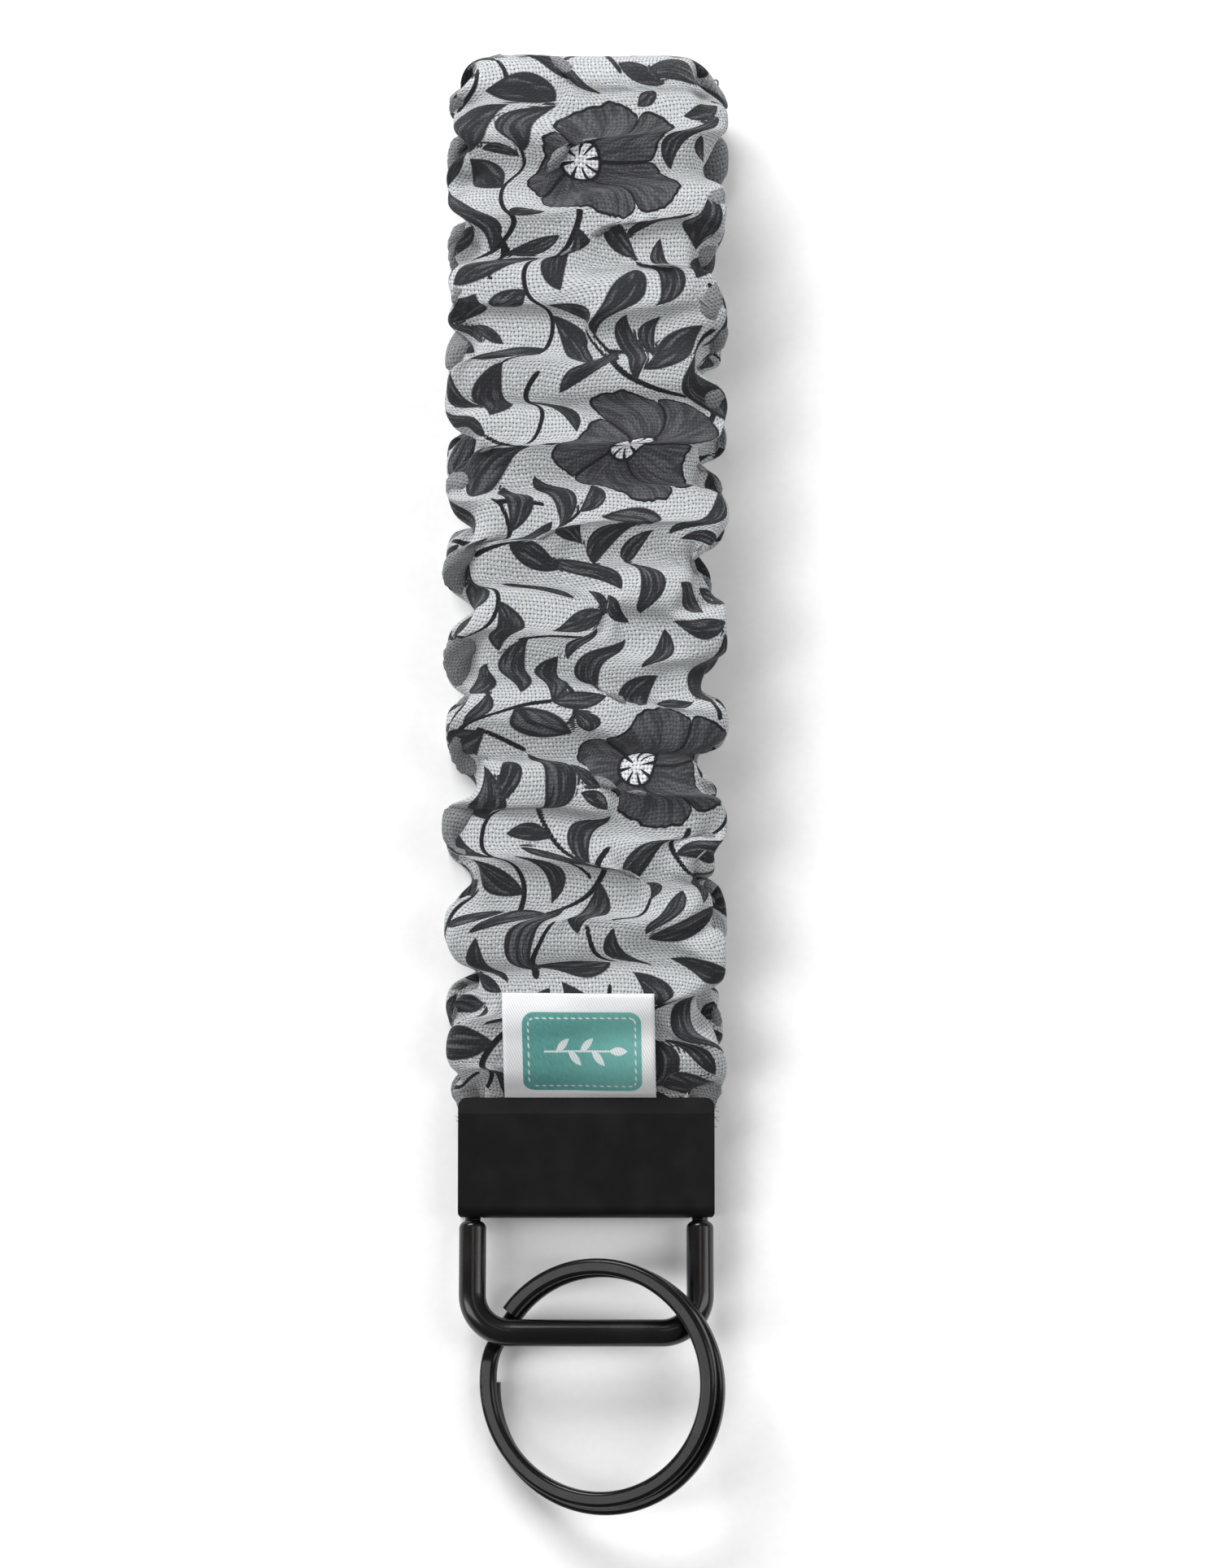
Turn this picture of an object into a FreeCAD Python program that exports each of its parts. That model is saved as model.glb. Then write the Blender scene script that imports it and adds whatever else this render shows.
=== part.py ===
import FreeCAD, Part

import math
import os

V = FreeCAD.Vector

# A wrist keychain: an elastic band in a gathered cotton sleeve, doubled into a loop whose two ends
# are held in a bent steel clamp. A wire bail hinges in the clamp's spine and carries a split ring.
# It lies on its back: X across the strap, Y from the bail to the loop's fold, Z up from the table.
# The origin is under the middle of the clamp, on its back face. All sizes are in millimetres.

# Clamp: one plate bent into a U, its mouth towards +Y
clamp_width = 32.0
clamp_length = 15.0
clamp_depth = 6.4
clamp_wall = 1.0
clamp_bend = 1.5          # outer radius where a jaw turns into the spine
lip_length = 2.0          # the end of each jaw that bends inwards
lip_inset = 0.4
mouth_corner = 1.15       # corner radii of the jaws in plan
spine_corner = 0.7
teeth_per_row = 9
tooth_width = 1.4
tooth_length = 0.8
tooth_height = 0.85
tooth_rows = (0.8, 3.6)   # places of the tooth rows along Y

# Bail: a round wire U with thin turned-in ends
wire_radius = 1.7
bail_side_inset = 0.1     # how far the wire stays inside the clamp's sides
bail_width = clamp_width - 2 * bail_side_inset
bail_length = 18.3        # from the hinge axis to the outside of the bar
bail_corner = 4.8         # centreline radius
neck_radius = 1.0
shoulder_gap = 0.5        # from the spine to the full-size wire
shoulder_round = 0.9
pin_length = 6.0
pin_gap = 0.05
notch_gap = 0.3

# Split ring: a flattened wire wound nearly twice
ring_inner_radius = 13.4
ring_wire_width = 2.0
ring_wire_height = 1.7
ring_wire_round = 0.55
ring_coil_gap = 0.05
ring_centre_x = 1.7
ring_reach = 5.9          # from the bar's inner side to the ring's inner side, along Y
ring_spread = 0.3         # the lower coil is this much larger in radius
ring_shift = (0.2, -0.7)  # and its centre is moved by this much
ring_gap = 0.5            # room between the ring and the bail where they cross
lower_turn = (178.0, 508.0)
upper_turn = (532.0, 863.0)

# Strap: gathered fabric tube over a flat elastic
sleeve_overhang = 1.0     # past each side of the clamp
sleeve_width = clamp_width + 2 * sleeve_overhang
sleeve_clamp_inset = 0.5
sleeve_clamped_width = clamp_width - 2 * sleeve_clamp_inset
sleeve_thickness = 4.4
sleeve_wall = 1.25
sleeve_clamped_wall = 0.35
sleeve_corner = 4.5
layer_gap = 0.1           # between the two layers in the clamp
jaw_room = 0.45           # between a jaw and the layer that its teeth bite
sleeve_clamped = clamp_depth / 2 - clamp_wall - jaw_room - layer_gap / 2
loop_length = 131.0       # from the clamp's mouth to the outside of the fold
loop_height = 16.4
layer_rise = 0.4          # between the layers where they leave the clamp
swell_length = 7.0        # over which a layer swells after the clamp
strap_start = -3.0        # where the strap's ends lie in the clamp
elastic_gap = 0.2
elastic_clamped_gap = 0.05
tunnel_margin = 3.5       # from the tunnel to the sleeve's edge
tunnel_width = sleeve_width - 2 * tunnel_margin
elastic_side_gap = 0.8
elastic_width = tunnel_width - 2 * elastic_side_gap

# Sewing thread
thread_radius = 0.2
seam_stitch = 2.4
seam_pitch = 3.0
seam_inset = 0.9          # from the sleeve's edge
basting_y = -1.6
basting_pitch = 3.0
basting_inset = 2.5
basting_width = sleeve_clamped_width - 2 * basting_inset

# Label: a ribbon folded in two, its ends in the clamp
label_width = 18.9
label_reach = 13.2        # the part that shows
label_start = 2.0
label_centre_x = -0.6
ribbon = 0.25
ribbon_slot = 0.15
label_lift = 0.06

# Worked-out places
half_length = clamp_length / 2
middle_z = clamp_depth / 2
spine_y = -half_length
hinge_y = spine_y + clamp_wall + pin_gap + neck_radius
leg_x = bail_width / 2 - wire_radius
bar_reach = bail_length - wire_radius
stack = 2 * ring_wire_height + ring_coil_gap
ring_radius = ring_inner_radius + ring_wire_width / 2
fold_y = half_length + loop_length - loop_height / 2
swell_y = half_length + swell_length


def curve(*points):
    bezier = Part.BezierCurve()
    bezier.setPoles([V(0, y, z) for y, z in points])
    return bezier.toShape()


def line(start, end):
    return Part.makeLine(V(0, *start), V(0, *end))


def arc(start, through, end):
    return Part.Arc(V(0, *start), V(0, *through), V(0, *end)).toShape()


def across(edges, width, centre=0.0):
    """A closed outline in the YZ plane made into a solid of the given width."""
    face = Part.Face(Part.Wire(edges))
    face.translate(V(centre - width / 2, 0, 0))
    return face.extrude(V(width, 0, 0))


def plan_solid(points, height):
    """A prism over the table from an outline in the XY plane."""
    wire = Part.makePolygon([V(x, y, -1) for x, y in points + points[:1]])
    return Part.Face(wire).extrude(V(0, 0, height + 2))


def round_upright_edges(solid, places, radius):
    """Rounds the upright edges of a prism that stand at the given places in plan."""
    edges = []
    for edge in solid.Edges:
        first, last = edge.Vertexes[0].Point, edge.Vertexes[-1].Point
        upright = abs(first.z - last.z) > 1e-6
        if upright and any(math.hypot(first.x - x, first.y - y) < 1e-6 for x, y in places):
            edges.append(edge)
    return solid.makeFillet(radius, edges)


# Clamp

def jaw_outline(side):
    """Points of one jaw from the bend to the lip's end: outer side, then inner side."""
    height = [middle_z - side * (middle_z - z) for z in (0, lip_inset, lip_inset + clamp_wall, clamp_wall)]
    bend_y = spine_y + clamp_bend
    lip_y = half_length - lip_length
    return [
        (bend_y, height[0]),
        (lip_y, height[0]),
        (half_length, height[1]),
        (half_length, height[2]),
        (lip_y, height[3]),
        (bend_y, height[3]),
    ]


def bend(side, radius):
    """An arc of the spine's corner, from the jaw to the spine."""
    centre_y = spine_y + clamp_bend
    centre_z = middle_z - side * (middle_z - clamp_bend)
    diagonal = radius / math.sqrt(2)
    return (
        (centre_y, centre_z - side * radius),
        (centre_y - diagonal, centre_z - side * diagonal),
        (centre_y - radius, centre_z),
    )


def clamp_plate():
    back = jaw_outline(1)
    front = jaw_outline(-1)
    inner_bend = clamp_bend - clamp_wall
    edges = [line(a, b) for a, b in zip(back, back[1:])]
    edges += [line(a, b) for a, b in zip(front, front[1:])]
    for radius in (clamp_bend, inner_bend):
        edges.append(arc(*bend(1, radius)))
        edges.append(arc(*bend(-1, radius)))
        edges.append(line(bend(1, radius)[2], bend(-1, radius)[2]))
    edges = Part.__sortEdges__(edges)
    plate = across(edges, clamp_width)
    half = clamp_width / 2
    corners = [(-half, spine_y), (half, spine_y), (half, half_length), (-half, half_length)]
    plan = plan_solid(corners, clamp_depth)
    plan = round_upright_edges(plan, corners[:2], spine_corner)
    plan = round_upright_edges(plan, corners[2:], mouth_corner)
    return plate.common(plan)


def spine_notch(side):
    """The opening in the spine's end that the bail's neck swings in."""
    inner = leg_x - neck_radius - notch_gap
    gap = clamp_depth - 2 * clamp_wall
    box = Part.makeBox(clamp_width, clamp_bend + 1, gap, V(inner, spine_y - 1, clamp_wall))
    if side < 0:
        box = box.mirror(V(0, 0, 0), V(1, 0, 0))
    return box


def tooth(x, y, side):
    base = Part.makePolygon([
        V(x, y - tooth_length / 2, clamp_wall - 0.1),
        V(x, y + tooth_length / 2, clamp_wall - 0.1),
        V(x, y, clamp_wall + tooth_height),
        V(x, y - tooth_length / 2, clamp_wall - 0.1),
    ])
    wedge = Part.Face(base).extrude(V(tooth_width, 0, 0))
    wedge.translate(V(-tooth_width / 2, 0, 0))
    if side < 0:
        wedge = wedge.mirror(V(0, 0, middle_z), V(0, 0, 1))
    return wedge


def make_clamp():
    shape = clamp_plate()
    for side in (-1, 1):
        shape = shape.cut(spine_notch(side))
    pitch = (clamp_width - 4) / teeth_per_row
    teeth = []
    for row, y in enumerate(tooth_rows):
        for index in range(teeth_per_row - row):
            x = (index - (teeth_per_row - row - 1) / 2) * pitch
            teeth += [tooth(x, y, 1), tooth(x, y, -1)]
    return shape.fuse(teeth).removeSplitter()


# Bail, made flat in the plane z = 0 with its hinge along the X axis, legs towards -Y

def bail_leg(x):
    """Neck, rounded shoulder and straight wire of one leg, turned about the leg's own axis."""
    shoulder = clamp_wall + pin_gap + neck_radius + shoulder_gap
    crown = wire_radius - shoulder_round
    end = bar_reach - bail_corner
    side = shoulder_round * (1 - 1 / math.sqrt(2))
    edges = [
        Part.makeLine(V(0, 0, 0), V(neck_radius, 0, 0)),
        Part.makeLine(V(neck_radius, 0, 0), V(neck_radius, -shoulder, 0)),
        Part.Arc(
            V(crown, -shoulder, 0),
            V(wire_radius - side, -shoulder - side, 0),
            V(wire_radius, -shoulder - shoulder_round, 0),
        ).toShape(),
        Part.makeLine(V(wire_radius, -shoulder - shoulder_round, 0), V(wire_radius, -end, 0)),
        Part.makeLine(V(wire_radius, -end, 0), V(0, -end, 0)),
        Part.makeLine(V(0, -end, 0), V(0, 0, 0)),
    ]
    if abs(neck_radius - crown) > 1e-6:
        edges.insert(2, Part.makeLine(V(neck_radius, -shoulder, 0), V(crown, -shoulder, 0)))
    face = Part.Face(Part.Wire(Part.__sortEdges__(edges)))
    leg = face.revolve(V(0, 0, 0), V(0, 1, 0), 360)
    leg.translate(V(x, 0, 0))
    return leg


def bail_corner_piece(side):
    centre = V(side * (leg_x - bail_corner), -(bar_reach - bail_corner), 0)
    section = Part.Face(Part.Wire(Part.makeCircle(
        wire_radius, centre + V(side * bail_corner, 0, 0), V(0, 1, 0))))
    return section.revolve(centre, V(0, 0, 1), -side * 90)


def make_bail(angle):
    """angle is how far the bail is swung up from the strap's plane, in degrees."""
    bar_half = leg_x - bail_corner
    pieces = [Part.makeCylinder(wire_radius, 2 * bar_half, V(-bar_half, -bar_reach, 0), V(1, 0, 0))]
    for side in (-1, 1):
        pieces.append(bail_leg(side * leg_x))
        pieces.append(bail_corner_piece(side))
        pieces.append(Part.makeSphere(neck_radius, V(side * leg_x, 0, 0)))
        pieces.append(Part.makeCylinder(neck_radius, pin_length, V(side * leg_x, 0, 0), V(-side, 0, 0)))
    bail = pieces[0].fuse(pieces[1:]).removeSplitter()
    bail.rotate(V(0, 0, 0), V(1, 0, 0), -angle)
    bail.translate(V(0, hinge_y, middle_z))
    return bail


# Split ring

def coil_arc(span, radius, centre, z):
    circle = Part.Circle(V(centre[0], centre[1], z), V(0, 0, 1), radius)
    start = math.radians(span[0] % 360)
    return Part.ArcOfCircle(circle, start, start + math.radians(span[1] - span[0]))


def ring_wire_path():
    level = (ring_wire_height + ring_coil_gap) / 2
    lower = coil_arc(lower_turn, ring_radius + ring_spread, ring_shift, -level)
    upper = coil_arc(upper_turn, ring_radius, (0, 0), level)
    step = Part.BSplineCurve()
    step.interpolate(
        [lower.EndPoint, upper.StartPoint],
        InitialTangent=lower.tangent(lower.LastParameter)[0],
        FinalTangent=upper.tangent(upper.FirstParameter)[0],
    )
    return Part.Wire([lower.toShape(), step.toShape(), upper.toShape()])


def ring_section(point, outward):
    """The flattened wire's rounded section, across the path at the given point."""
    half_w = ring_wire_width / 2
    half_h = ring_wire_height / 2
    up = V(0, 0, 1)
    corners = [(-half_w, -half_h), (half_w, -half_h), (half_w, half_h), (-half_w, half_h)]
    points = [point + outward * w + up * h for w, h in corners]
    face = Part.Face(Part.makePolygon(points + points[:1]))
    block = face.extrude(outward.cross(up))
    ends = [e for e in block.Edges if abs(e.tangentAt(e.FirstParameter).dot(outward.cross(up))) > 0.99]
    rounded = block.makeFillet(ring_wire_round, ends)
    near = min(rounded.Faces, key=lambda f: (f.CenterOfMass - point).Length)
    return near.OuterWire


def make_ring(tilt):
    path = ring_wire_path()
    start = path.OrderedEdges[0].valueAt(path.OrderedEdges[0].FirstParameter)
    outward = V(start.x - ring_shift[0], start.y - ring_shift[1], 0).normalize()
    sweep = Part.BRepOffsetAPI.MakePipeShell(path)
    sweep.setBiNormalMode(V(0, 0, 1))
    sweep.add(ring_section(start, outward))
    sweep.build()
    sweep.makeSolid()
    ring = sweep.shape()
    ring.rotate(V(0, 0, 0), V(0, 1, 0), -tilt)
    centre_y = bar_line_y() + wire_radius + ring_reach - ring_inner_radius
    ring.translate(V(ring_centre_x, centre_y, ring_lift(tilt)))
    return ring


def bar_line_y():
    """Where the bar lies when the bail is flat; swung up a little it moves by a fraction of a mm."""
    return hinge_y - bar_reach


def ring_lift(tilt):
    """Height of the ring's centre when its low side touches the table."""
    slope = math.radians(tilt)
    outside = ring_radius + ring_spread + ring_wire_width / 2 - ring_shift[0]
    return outside * math.sin(slope) + stack / 2 * math.cos(slope)


def crossing_half_width():
    """Half the distance between the two places where the ring crosses the bar, at its inner side."""
    offset = ring_inner_radius - ring_reach - wire_radius
    return math.sqrt(ring_inner_radius ** 2 - offset ** 2)


def ring_tilt():
    """The ring goes under the bar on one side and over it on the other."""
    rise = stack + 2 * wire_radius + 2 * ring_gap
    return math.degrees(math.atan2(rise, 2 * crossing_half_width()))


def bail_lift(tilt):
    """The bail's swing that lays its bar over the ring's low side."""
    slope = math.radians(tilt)
    under = ring_lift(tilt) - crossing_half_width() * math.tan(slope) + stack / 2 / math.cos(slope)
    bar_z = under + ring_gap + wire_radius
    return math.degrees(math.asin((bar_z - middle_z) / bar_reach))


# Strap

def front_surface(inset, clamp_inset, outer, start):
    """The front layer's outer or inner line, from the fold to the clamp."""
    low = sleeve_thickness + layer_rise
    high = loop_height - sleeve_thickness
    clamped = middle_z + layer_gap / 2
    if outer:
        low = low + sleeve_thickness - inset
        high = loop_height - inset
        clamped = clamped + sleeve_clamped - clamp_inset
    else:
        low = low + inset
        high = high + inset
        clamped = clamped + clamp_inset
    run = fold_y - swell_y
    knee = swell_y + 0.35 * run
    slope = (high - low) / (knee - swell_y)
    third = (swell_y - (half_length - lip_length / 2)) / 3
    lip_y = half_length - lip_length / 2
    return [
        curve((fold_y, high), (knee, high), (swell_y, low)),
        curve((swell_y, low), (swell_y - third, low - slope * third), (lip_y + third, clamped),
              (lip_y, clamped)),
        line((lip_y, clamped), (start, clamped)),
    ]


def back_surface(inset, clamp_inset, outer, start):
    """The back layer's outer or inner line, from the clamp to the fold."""
    free = inset if outer else sleeve_thickness - inset
    clamped = middle_z - layer_gap / 2
    clamped = clamped - sleeve_clamped + clamp_inset if outer else clamped - clamp_inset
    lip_y = half_length - lip_length / 2
    third = (swell_y - lip_y) / 3
    return [
        line((start, clamped), (lip_y, clamped)),
        curve((lip_y, clamped), (lip_y + third, clamped), (swell_y - third, free), (swell_y, free)),
        line((swell_y, free), (fold_y, free)),
    ]


def fold_arc(radius):
    centre_z = loop_height / 2
    return arc((fold_y, centre_z - radius), (fold_y + radius, centre_z), (fold_y, centre_z + radius))


def strap_solid(width, inset=0.0, clamp_inset=0.0, start=strap_start):
    """A strap that follows the loop, thinner than the sleeve by the inset on each side."""
    radius_out = loop_height / 2 - inset
    radius_in = loop_height / 2 - sleeve_thickness + inset
    front_out = front_surface(inset, clamp_inset, True, start)
    front_in = front_surface(inset, clamp_inset, False, start)
    back_out = back_surface(inset, clamp_inset, True, start)
    back_in = back_surface(inset, clamp_inset, False, start)
    edges = back_out + [fold_arc(radius_out)] + front_out
    edges += back_in + [fold_arc(radius_in)] + front_in
    clamped = sleeve_clamped - clamp_inset
    below = middle_z - layer_gap / 2
    above = middle_z + layer_gap / 2
    edges.append(line((start, below - clamped), (start, below - clamp_inset)))
    edges.append(line((start, above + clamp_inset), (start, above + clamped)))
    return across(Part.__sortEdges__(edges), width)


def sleeve_plan():
    """Full width along the loop, narrower in the clamp, with round corners at the fold."""
    wide = sleeve_width / 2
    narrow = sleeve_clamped_width / 2
    end_y = half_length + loop_length
    points = [
        (-narrow, strap_start),
        (narrow, strap_start),
        (narrow, half_length),
        (wide, swell_y),
        (wide, end_y),
        (-wide, end_y),
        (-wide, swell_y),
        (-narrow, half_length),
    ]
    plan = plan_solid(points, loop_height)
    return round_upright_edges(plan, points[4:6], sleeve_corner)


def make_sleeve():
    outside = strap_solid(sleeve_width).common(sleeve_plan())
    tunnel = strap_solid(tunnel_width, sleeve_wall, sleeve_clamped_wall, strap_start - 1)
    return outside.cut(tunnel)


def make_elastic():
    inset = sleeve_wall + elastic_gap
    clamp_inset = sleeve_clamped_wall + elastic_clamped_gap
    return strap_solid(elastic_width, inset, clamp_inset)


def stitch(start, end):
    run = end - start
    return Part.makeCylinder(thread_radius, run.Length, start, run)


def make_seam_thread():
    """Stitches along the tube's seam, in the sleeve's edge, on both layers and round the fold."""
    x = sleeve_width / 2 - seam_inset
    middle = sleeve_thickness / 2
    path = Part.Wire([
        line((swell_y, middle), (fold_y, middle)),
        fold_arc(loop_height / 2 - middle),
        front_surface(middle, sleeve_clamped / 2, True, strap_start)[0],
    ])
    path.translate(V(x, 0, 0))
    count = int(path.Length / seam_pitch)
    points = path.discretize(Number=count + 1)
    share = seam_stitch / seam_pitch
    stitches = [stitch(a, a + (b - a) * share) for a, b in zip(points, points[1:])]
    return Part.makeCompound(stitches)


def make_basting_thread():
    """A row of stitches through both layers, inside the clamp."""
    half = basting_width / 2
    low = middle_z - layer_gap / 2 - sleeve_clamped
    high = middle_z + layer_gap / 2 + sleeve_clamped
    runs = [stitch(V(-half, basting_y, z), V(half, basting_y, z)) for z in (low, high)]
    count = int(basting_width / basting_pitch)
    for index in range(count + 1):
        x = (index - count / 2) * basting_pitch
        runs.append(stitch(V(x, basting_y, low), V(x, basting_y, high)))
    return runs[0].fuse(runs[1:]).removeSplitter()


# Label

def label_strip(low, high, end_y):
    """A strip of the label between two heights over the sleeve, up to end_y."""
    edges = front_surface(-low, -low, True, label_start) + front_surface(-high, -high, True, label_start)
    clamped = middle_z + layer_gap / 2 + sleeve_clamped
    edges.append(line((label_start, clamped + low), (label_start, clamped + high)))
    edges.append(line((fold_y, loop_height + low), (fold_y, loop_height + high)))
    whole = across(Part.__sortEdges__(edges), label_width, label_centre_x)
    size = 4 * loop_height
    keep = Part.makeBox(clamp_width, end_y - label_start + 1, size, V(-clamp_width / 2, label_start - 1, 0))
    return whole.common(keep)


def make_label():
    """The ribbon's two layers, joined at the fold."""
    bottom = label_lift
    top = bottom + 2 * ribbon + ribbon_slot
    end_y = half_length + label_reach
    strip = label_strip(bottom, top, end_y)
    slot = label_strip(bottom + ribbon, top - ribbon, end_y - ribbon)
    strip = strip.cut(slot)
    drop = top + label_lift
    clamp_room = Part.makeBox(
        clamp_width, half_length - label_start + 1, drop,
        V(-clamp_width / 2, label_start - 1, clamp_depth - clamp_wall))
    return strip.cut(clamp_room)


def main():
    tilt = ring_tilt()
    lift = bail_lift(tilt)
    centre_y = bar_line_y() + wire_radius + ring_reach - ring_inner_radius
    print("hinge at y", round(hinge_y, 3), "z", middle_z, "bail lifted", round(lift, 3))
    print("ring tilted", round(tilt, 3), "centre", ring_centre_x, round(centre_y, 3),
          round(ring_lift(tilt), 3))
    nodes = {
        "fob_clamp": make_clamp(),
        "bail": make_bail(lift),
        "split_ring": make_ring(tilt),
        "fabric_sleeve": make_sleeve(),
        "elastic_band": make_elastic(),
        "sleeve_seam_thread": make_seam_thread(),
        "end_basting_thread": make_basting_thread(),
        "label": make_label(),
    }
    os.makedirs("parts", exist_ok=True)
    for name, shape in nodes.items():
        box = shape.BoundBox
        print(name, "valid", shape.isValid(), "solids", len(shape.Solids), "volume", round(shape.Volume, 1),
              "box", [round(v, 2) for v in (box.XMin, box.XMax, box.YMin, box.YMax, box.ZMin, box.ZMax)])
        shape.exportStep("parts/" + name + ".step")


main()
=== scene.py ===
import bpy
import bmesh
import math
import numpy as np
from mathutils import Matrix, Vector


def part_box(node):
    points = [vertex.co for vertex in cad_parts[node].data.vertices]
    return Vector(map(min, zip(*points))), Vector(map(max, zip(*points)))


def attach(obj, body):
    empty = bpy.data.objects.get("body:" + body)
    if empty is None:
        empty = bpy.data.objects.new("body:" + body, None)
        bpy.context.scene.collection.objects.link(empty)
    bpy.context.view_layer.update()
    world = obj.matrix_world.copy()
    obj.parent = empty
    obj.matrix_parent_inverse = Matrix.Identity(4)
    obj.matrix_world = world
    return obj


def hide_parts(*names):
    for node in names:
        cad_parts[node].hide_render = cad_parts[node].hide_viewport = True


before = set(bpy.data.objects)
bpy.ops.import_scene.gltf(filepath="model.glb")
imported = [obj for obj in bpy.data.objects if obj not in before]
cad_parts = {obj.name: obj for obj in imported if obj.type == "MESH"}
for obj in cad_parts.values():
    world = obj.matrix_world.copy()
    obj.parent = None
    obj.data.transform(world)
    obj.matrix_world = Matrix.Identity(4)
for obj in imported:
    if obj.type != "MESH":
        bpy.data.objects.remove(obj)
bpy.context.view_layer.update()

# A wrist keychain lying on a pale table. Everything is in metres, in the CAD frame; the fabric
# solver and the print work in millimetres and turn into metres when their mesh is made.

MM = 0.001


def node_box(node):
    """A CAD node's lowest and highest corners in millimetres."""
    low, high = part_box(node)
    return [c / MM for c in low], [c / MM for c in high]


CLAMP_LOW, CLAMP_HIGH = node_box("fob_clamp")
SLEEVE_LOW, SLEEVE_HIGH = node_box("fabric_sleeve")
LABEL_LOW, LABEL_HIGH = node_box("label")
ELASTIC_HIGH = node_box("elastic_band")[1]

# Sizes shared with the CAD model
LAYER = 4.4                     # thickness of one layer of the strap
LAYER_CLAMPED = 1.7             # the same, squeezed in the clamp
LAYER_GAP = 0.1                 # between the two layers in the clamp
LAYER_RISE = 0.4                # between them where the strap has swollen
SWELL = 7.0                     # from the clamp's mouth to the strap's full thickness
LIP = 1.0                       # from the clamp's mouth to where a layer is squeezed hardest
KNEE = 0.35                     # share of the front layer's run where its curve bends

MOUTH_Y = CLAMP_HIGH[1]
CLAMP_MID_Z = (CLAMP_LOW[2] + CLAMP_HIGH[2]) / 2
START_Y = SLEEVE_LOW[1]
LOOP_HEIGHT = SLEEVE_HIGH[2] - SLEEVE_LOW[2]
FOLD_Y = SLEEVE_HIGH[1] - LOOP_HEIGHT / 2
HALF_WIDTH = (SLEEVE_HIGH[0] - SLEEVE_LOW[0]) / 2


# The strap's path

def bezier(points, t):
    """A Bezier curve's points at the parameters t, for three or four poles."""
    poles = np.array(points, float)[:, None]
    while len(poles) > 1:
        poles = poles[:-1] * (1 - t)[:, None] + poles[1:] * t[:, None]
    return poles[0]


def strap_path(step=0.25):
    """The strap's middle line from its end on the back layer, round the fold, to its other end:
    arc lengths, points in the YZ plane, and outward normals."""
    t = np.linspace(0, 1, 400)
    clamped = LAYER_GAP / 2 + LAYER_CLAMPED / 2
    swell_y = MOUTH_Y + SWELL
    lip_y = MOUTH_Y - LIP
    third = (swell_y - lip_y) / 3
    low = LAYER + LAYER_RISE + LAYER / 2
    high = LOOP_HEIGHT - LAYER / 2
    knee_y = swell_y + KNEE * (FOLD_Y - swell_y)
    slope = (high - low) / (knee_y - swell_y)
    back_z = CLAMP_MID_Z - clamped
    front_z = CLAMP_MID_Z + clamped
    radius = (LOOP_HEIGHT - LAYER) / 2
    angle = np.linspace(-math.pi / 2, math.pi / 2, 400)
    fold = np.stack([FOLD_Y + radius * np.cos(angle), LOOP_HEIGHT / 2 + radius * np.sin(angle)], 1)
    pieces = [
        np.array([[START_Y, back_z], [lip_y, back_z]]),
        bezier([(lip_y, back_z), (lip_y + third, back_z), (swell_y - third, LAYER / 2),
                (swell_y, LAYER / 2)], t),
        fold,
        bezier([(FOLD_Y, high), (knee_y, high), (swell_y, low)], t),
        bezier([(swell_y, low), (swell_y - third, low - slope * third), (lip_y + third, front_z),
                (lip_y, front_z)], t),
        np.array([[lip_y, front_z], [START_Y, front_z]]),
    ]
    line = np.concatenate(pieces)
    keep = np.r_[True, np.linalg.norm(np.diff(line, axis=0), axis=1) > 1e-6]
    line = line[keep]
    length = np.r_[0, np.cumsum(np.linalg.norm(np.diff(line, axis=0), axis=1))]
    s = np.arange(0, length[-1], step)
    s = np.r_[s, length[-1]]
    points = np.stack([np.interp(s, length, line[:, k]) for k in (0, 1)], 1)
    tangent = np.gradient(points, s, axis=0)
    for _ in range(12):
        tangent[1:-1] = (tangent[:-2] + 2 * tangent[1:-1] + tangent[2:]) / 4
    tangent /= np.linalg.norm(tangent, axis=1)[:, None]
    normal = np.stack([tangent[:, 1], -tangent[:, 0]], 1)
    return s, points, normal


PATH_S, PATH_POINTS, PATH_NORMALS = strap_path()
PATH_LENGTH = float(PATH_S[-1])


def onto_path(x, s, n):
    """Points given across, along and out from the strap's middle line, in the object's frame."""
    y = np.interp(s, PATH_S, PATH_POINTS[:, 0]) + n * np.interp(s, PATH_S, PATH_NORMALS[:, 0])
    z = np.interp(s, PATH_S, PATH_POINTS[:, 1]) + n * np.interp(s, PATH_S, PATH_NORMALS[:, 1])
    return np.stack([x, y, z], -1)


def front_s(y):
    """Arc length of the place on the front layer at the given Y."""
    front = PATH_S > PATH_LENGTH / 2
    order = np.argsort(PATH_POINTS[front, 0])
    return float(np.interp(y, PATH_POINTS[front, 0][order], PATH_S[front][order]))


def eased(t):
    return t * t * (3 - 2 * t)


def ramp(value, start, end):
    """0 up to start, 1 from end on, and smooth between them."""
    return eased(np.clip((value - start) / (end - start), 0, 1))


def smooth_noise(x, y, seed, wrap=None):
    """Value noise with unit cells; it repeats in x after wrap cells."""
    random = np.random.RandomState(seed)
    wide = wrap or 64
    long = 1024
    table = random.uniform(-1, 1, (wide, long))
    xi = np.floor(x).astype(int)
    yi = np.floor(y).astype(int)
    fx = eased(x - xi)
    fy = eased(y - yi)
    xa = xi % wide
    xb = (xi + 1) % wide
    ya = yi % long
    yb = (yi + 1) % long
    low = table[xa, ya] * (1 - fx) + table[xb, ya] * fx
    high = table[xa, yb] * (1 - fx) + table[xb, yb] * fx
    return low * (1 - fy) + high * fy


# The gathered sleeve: a fabric tube longer than the strap, solved as a net of springs

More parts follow.
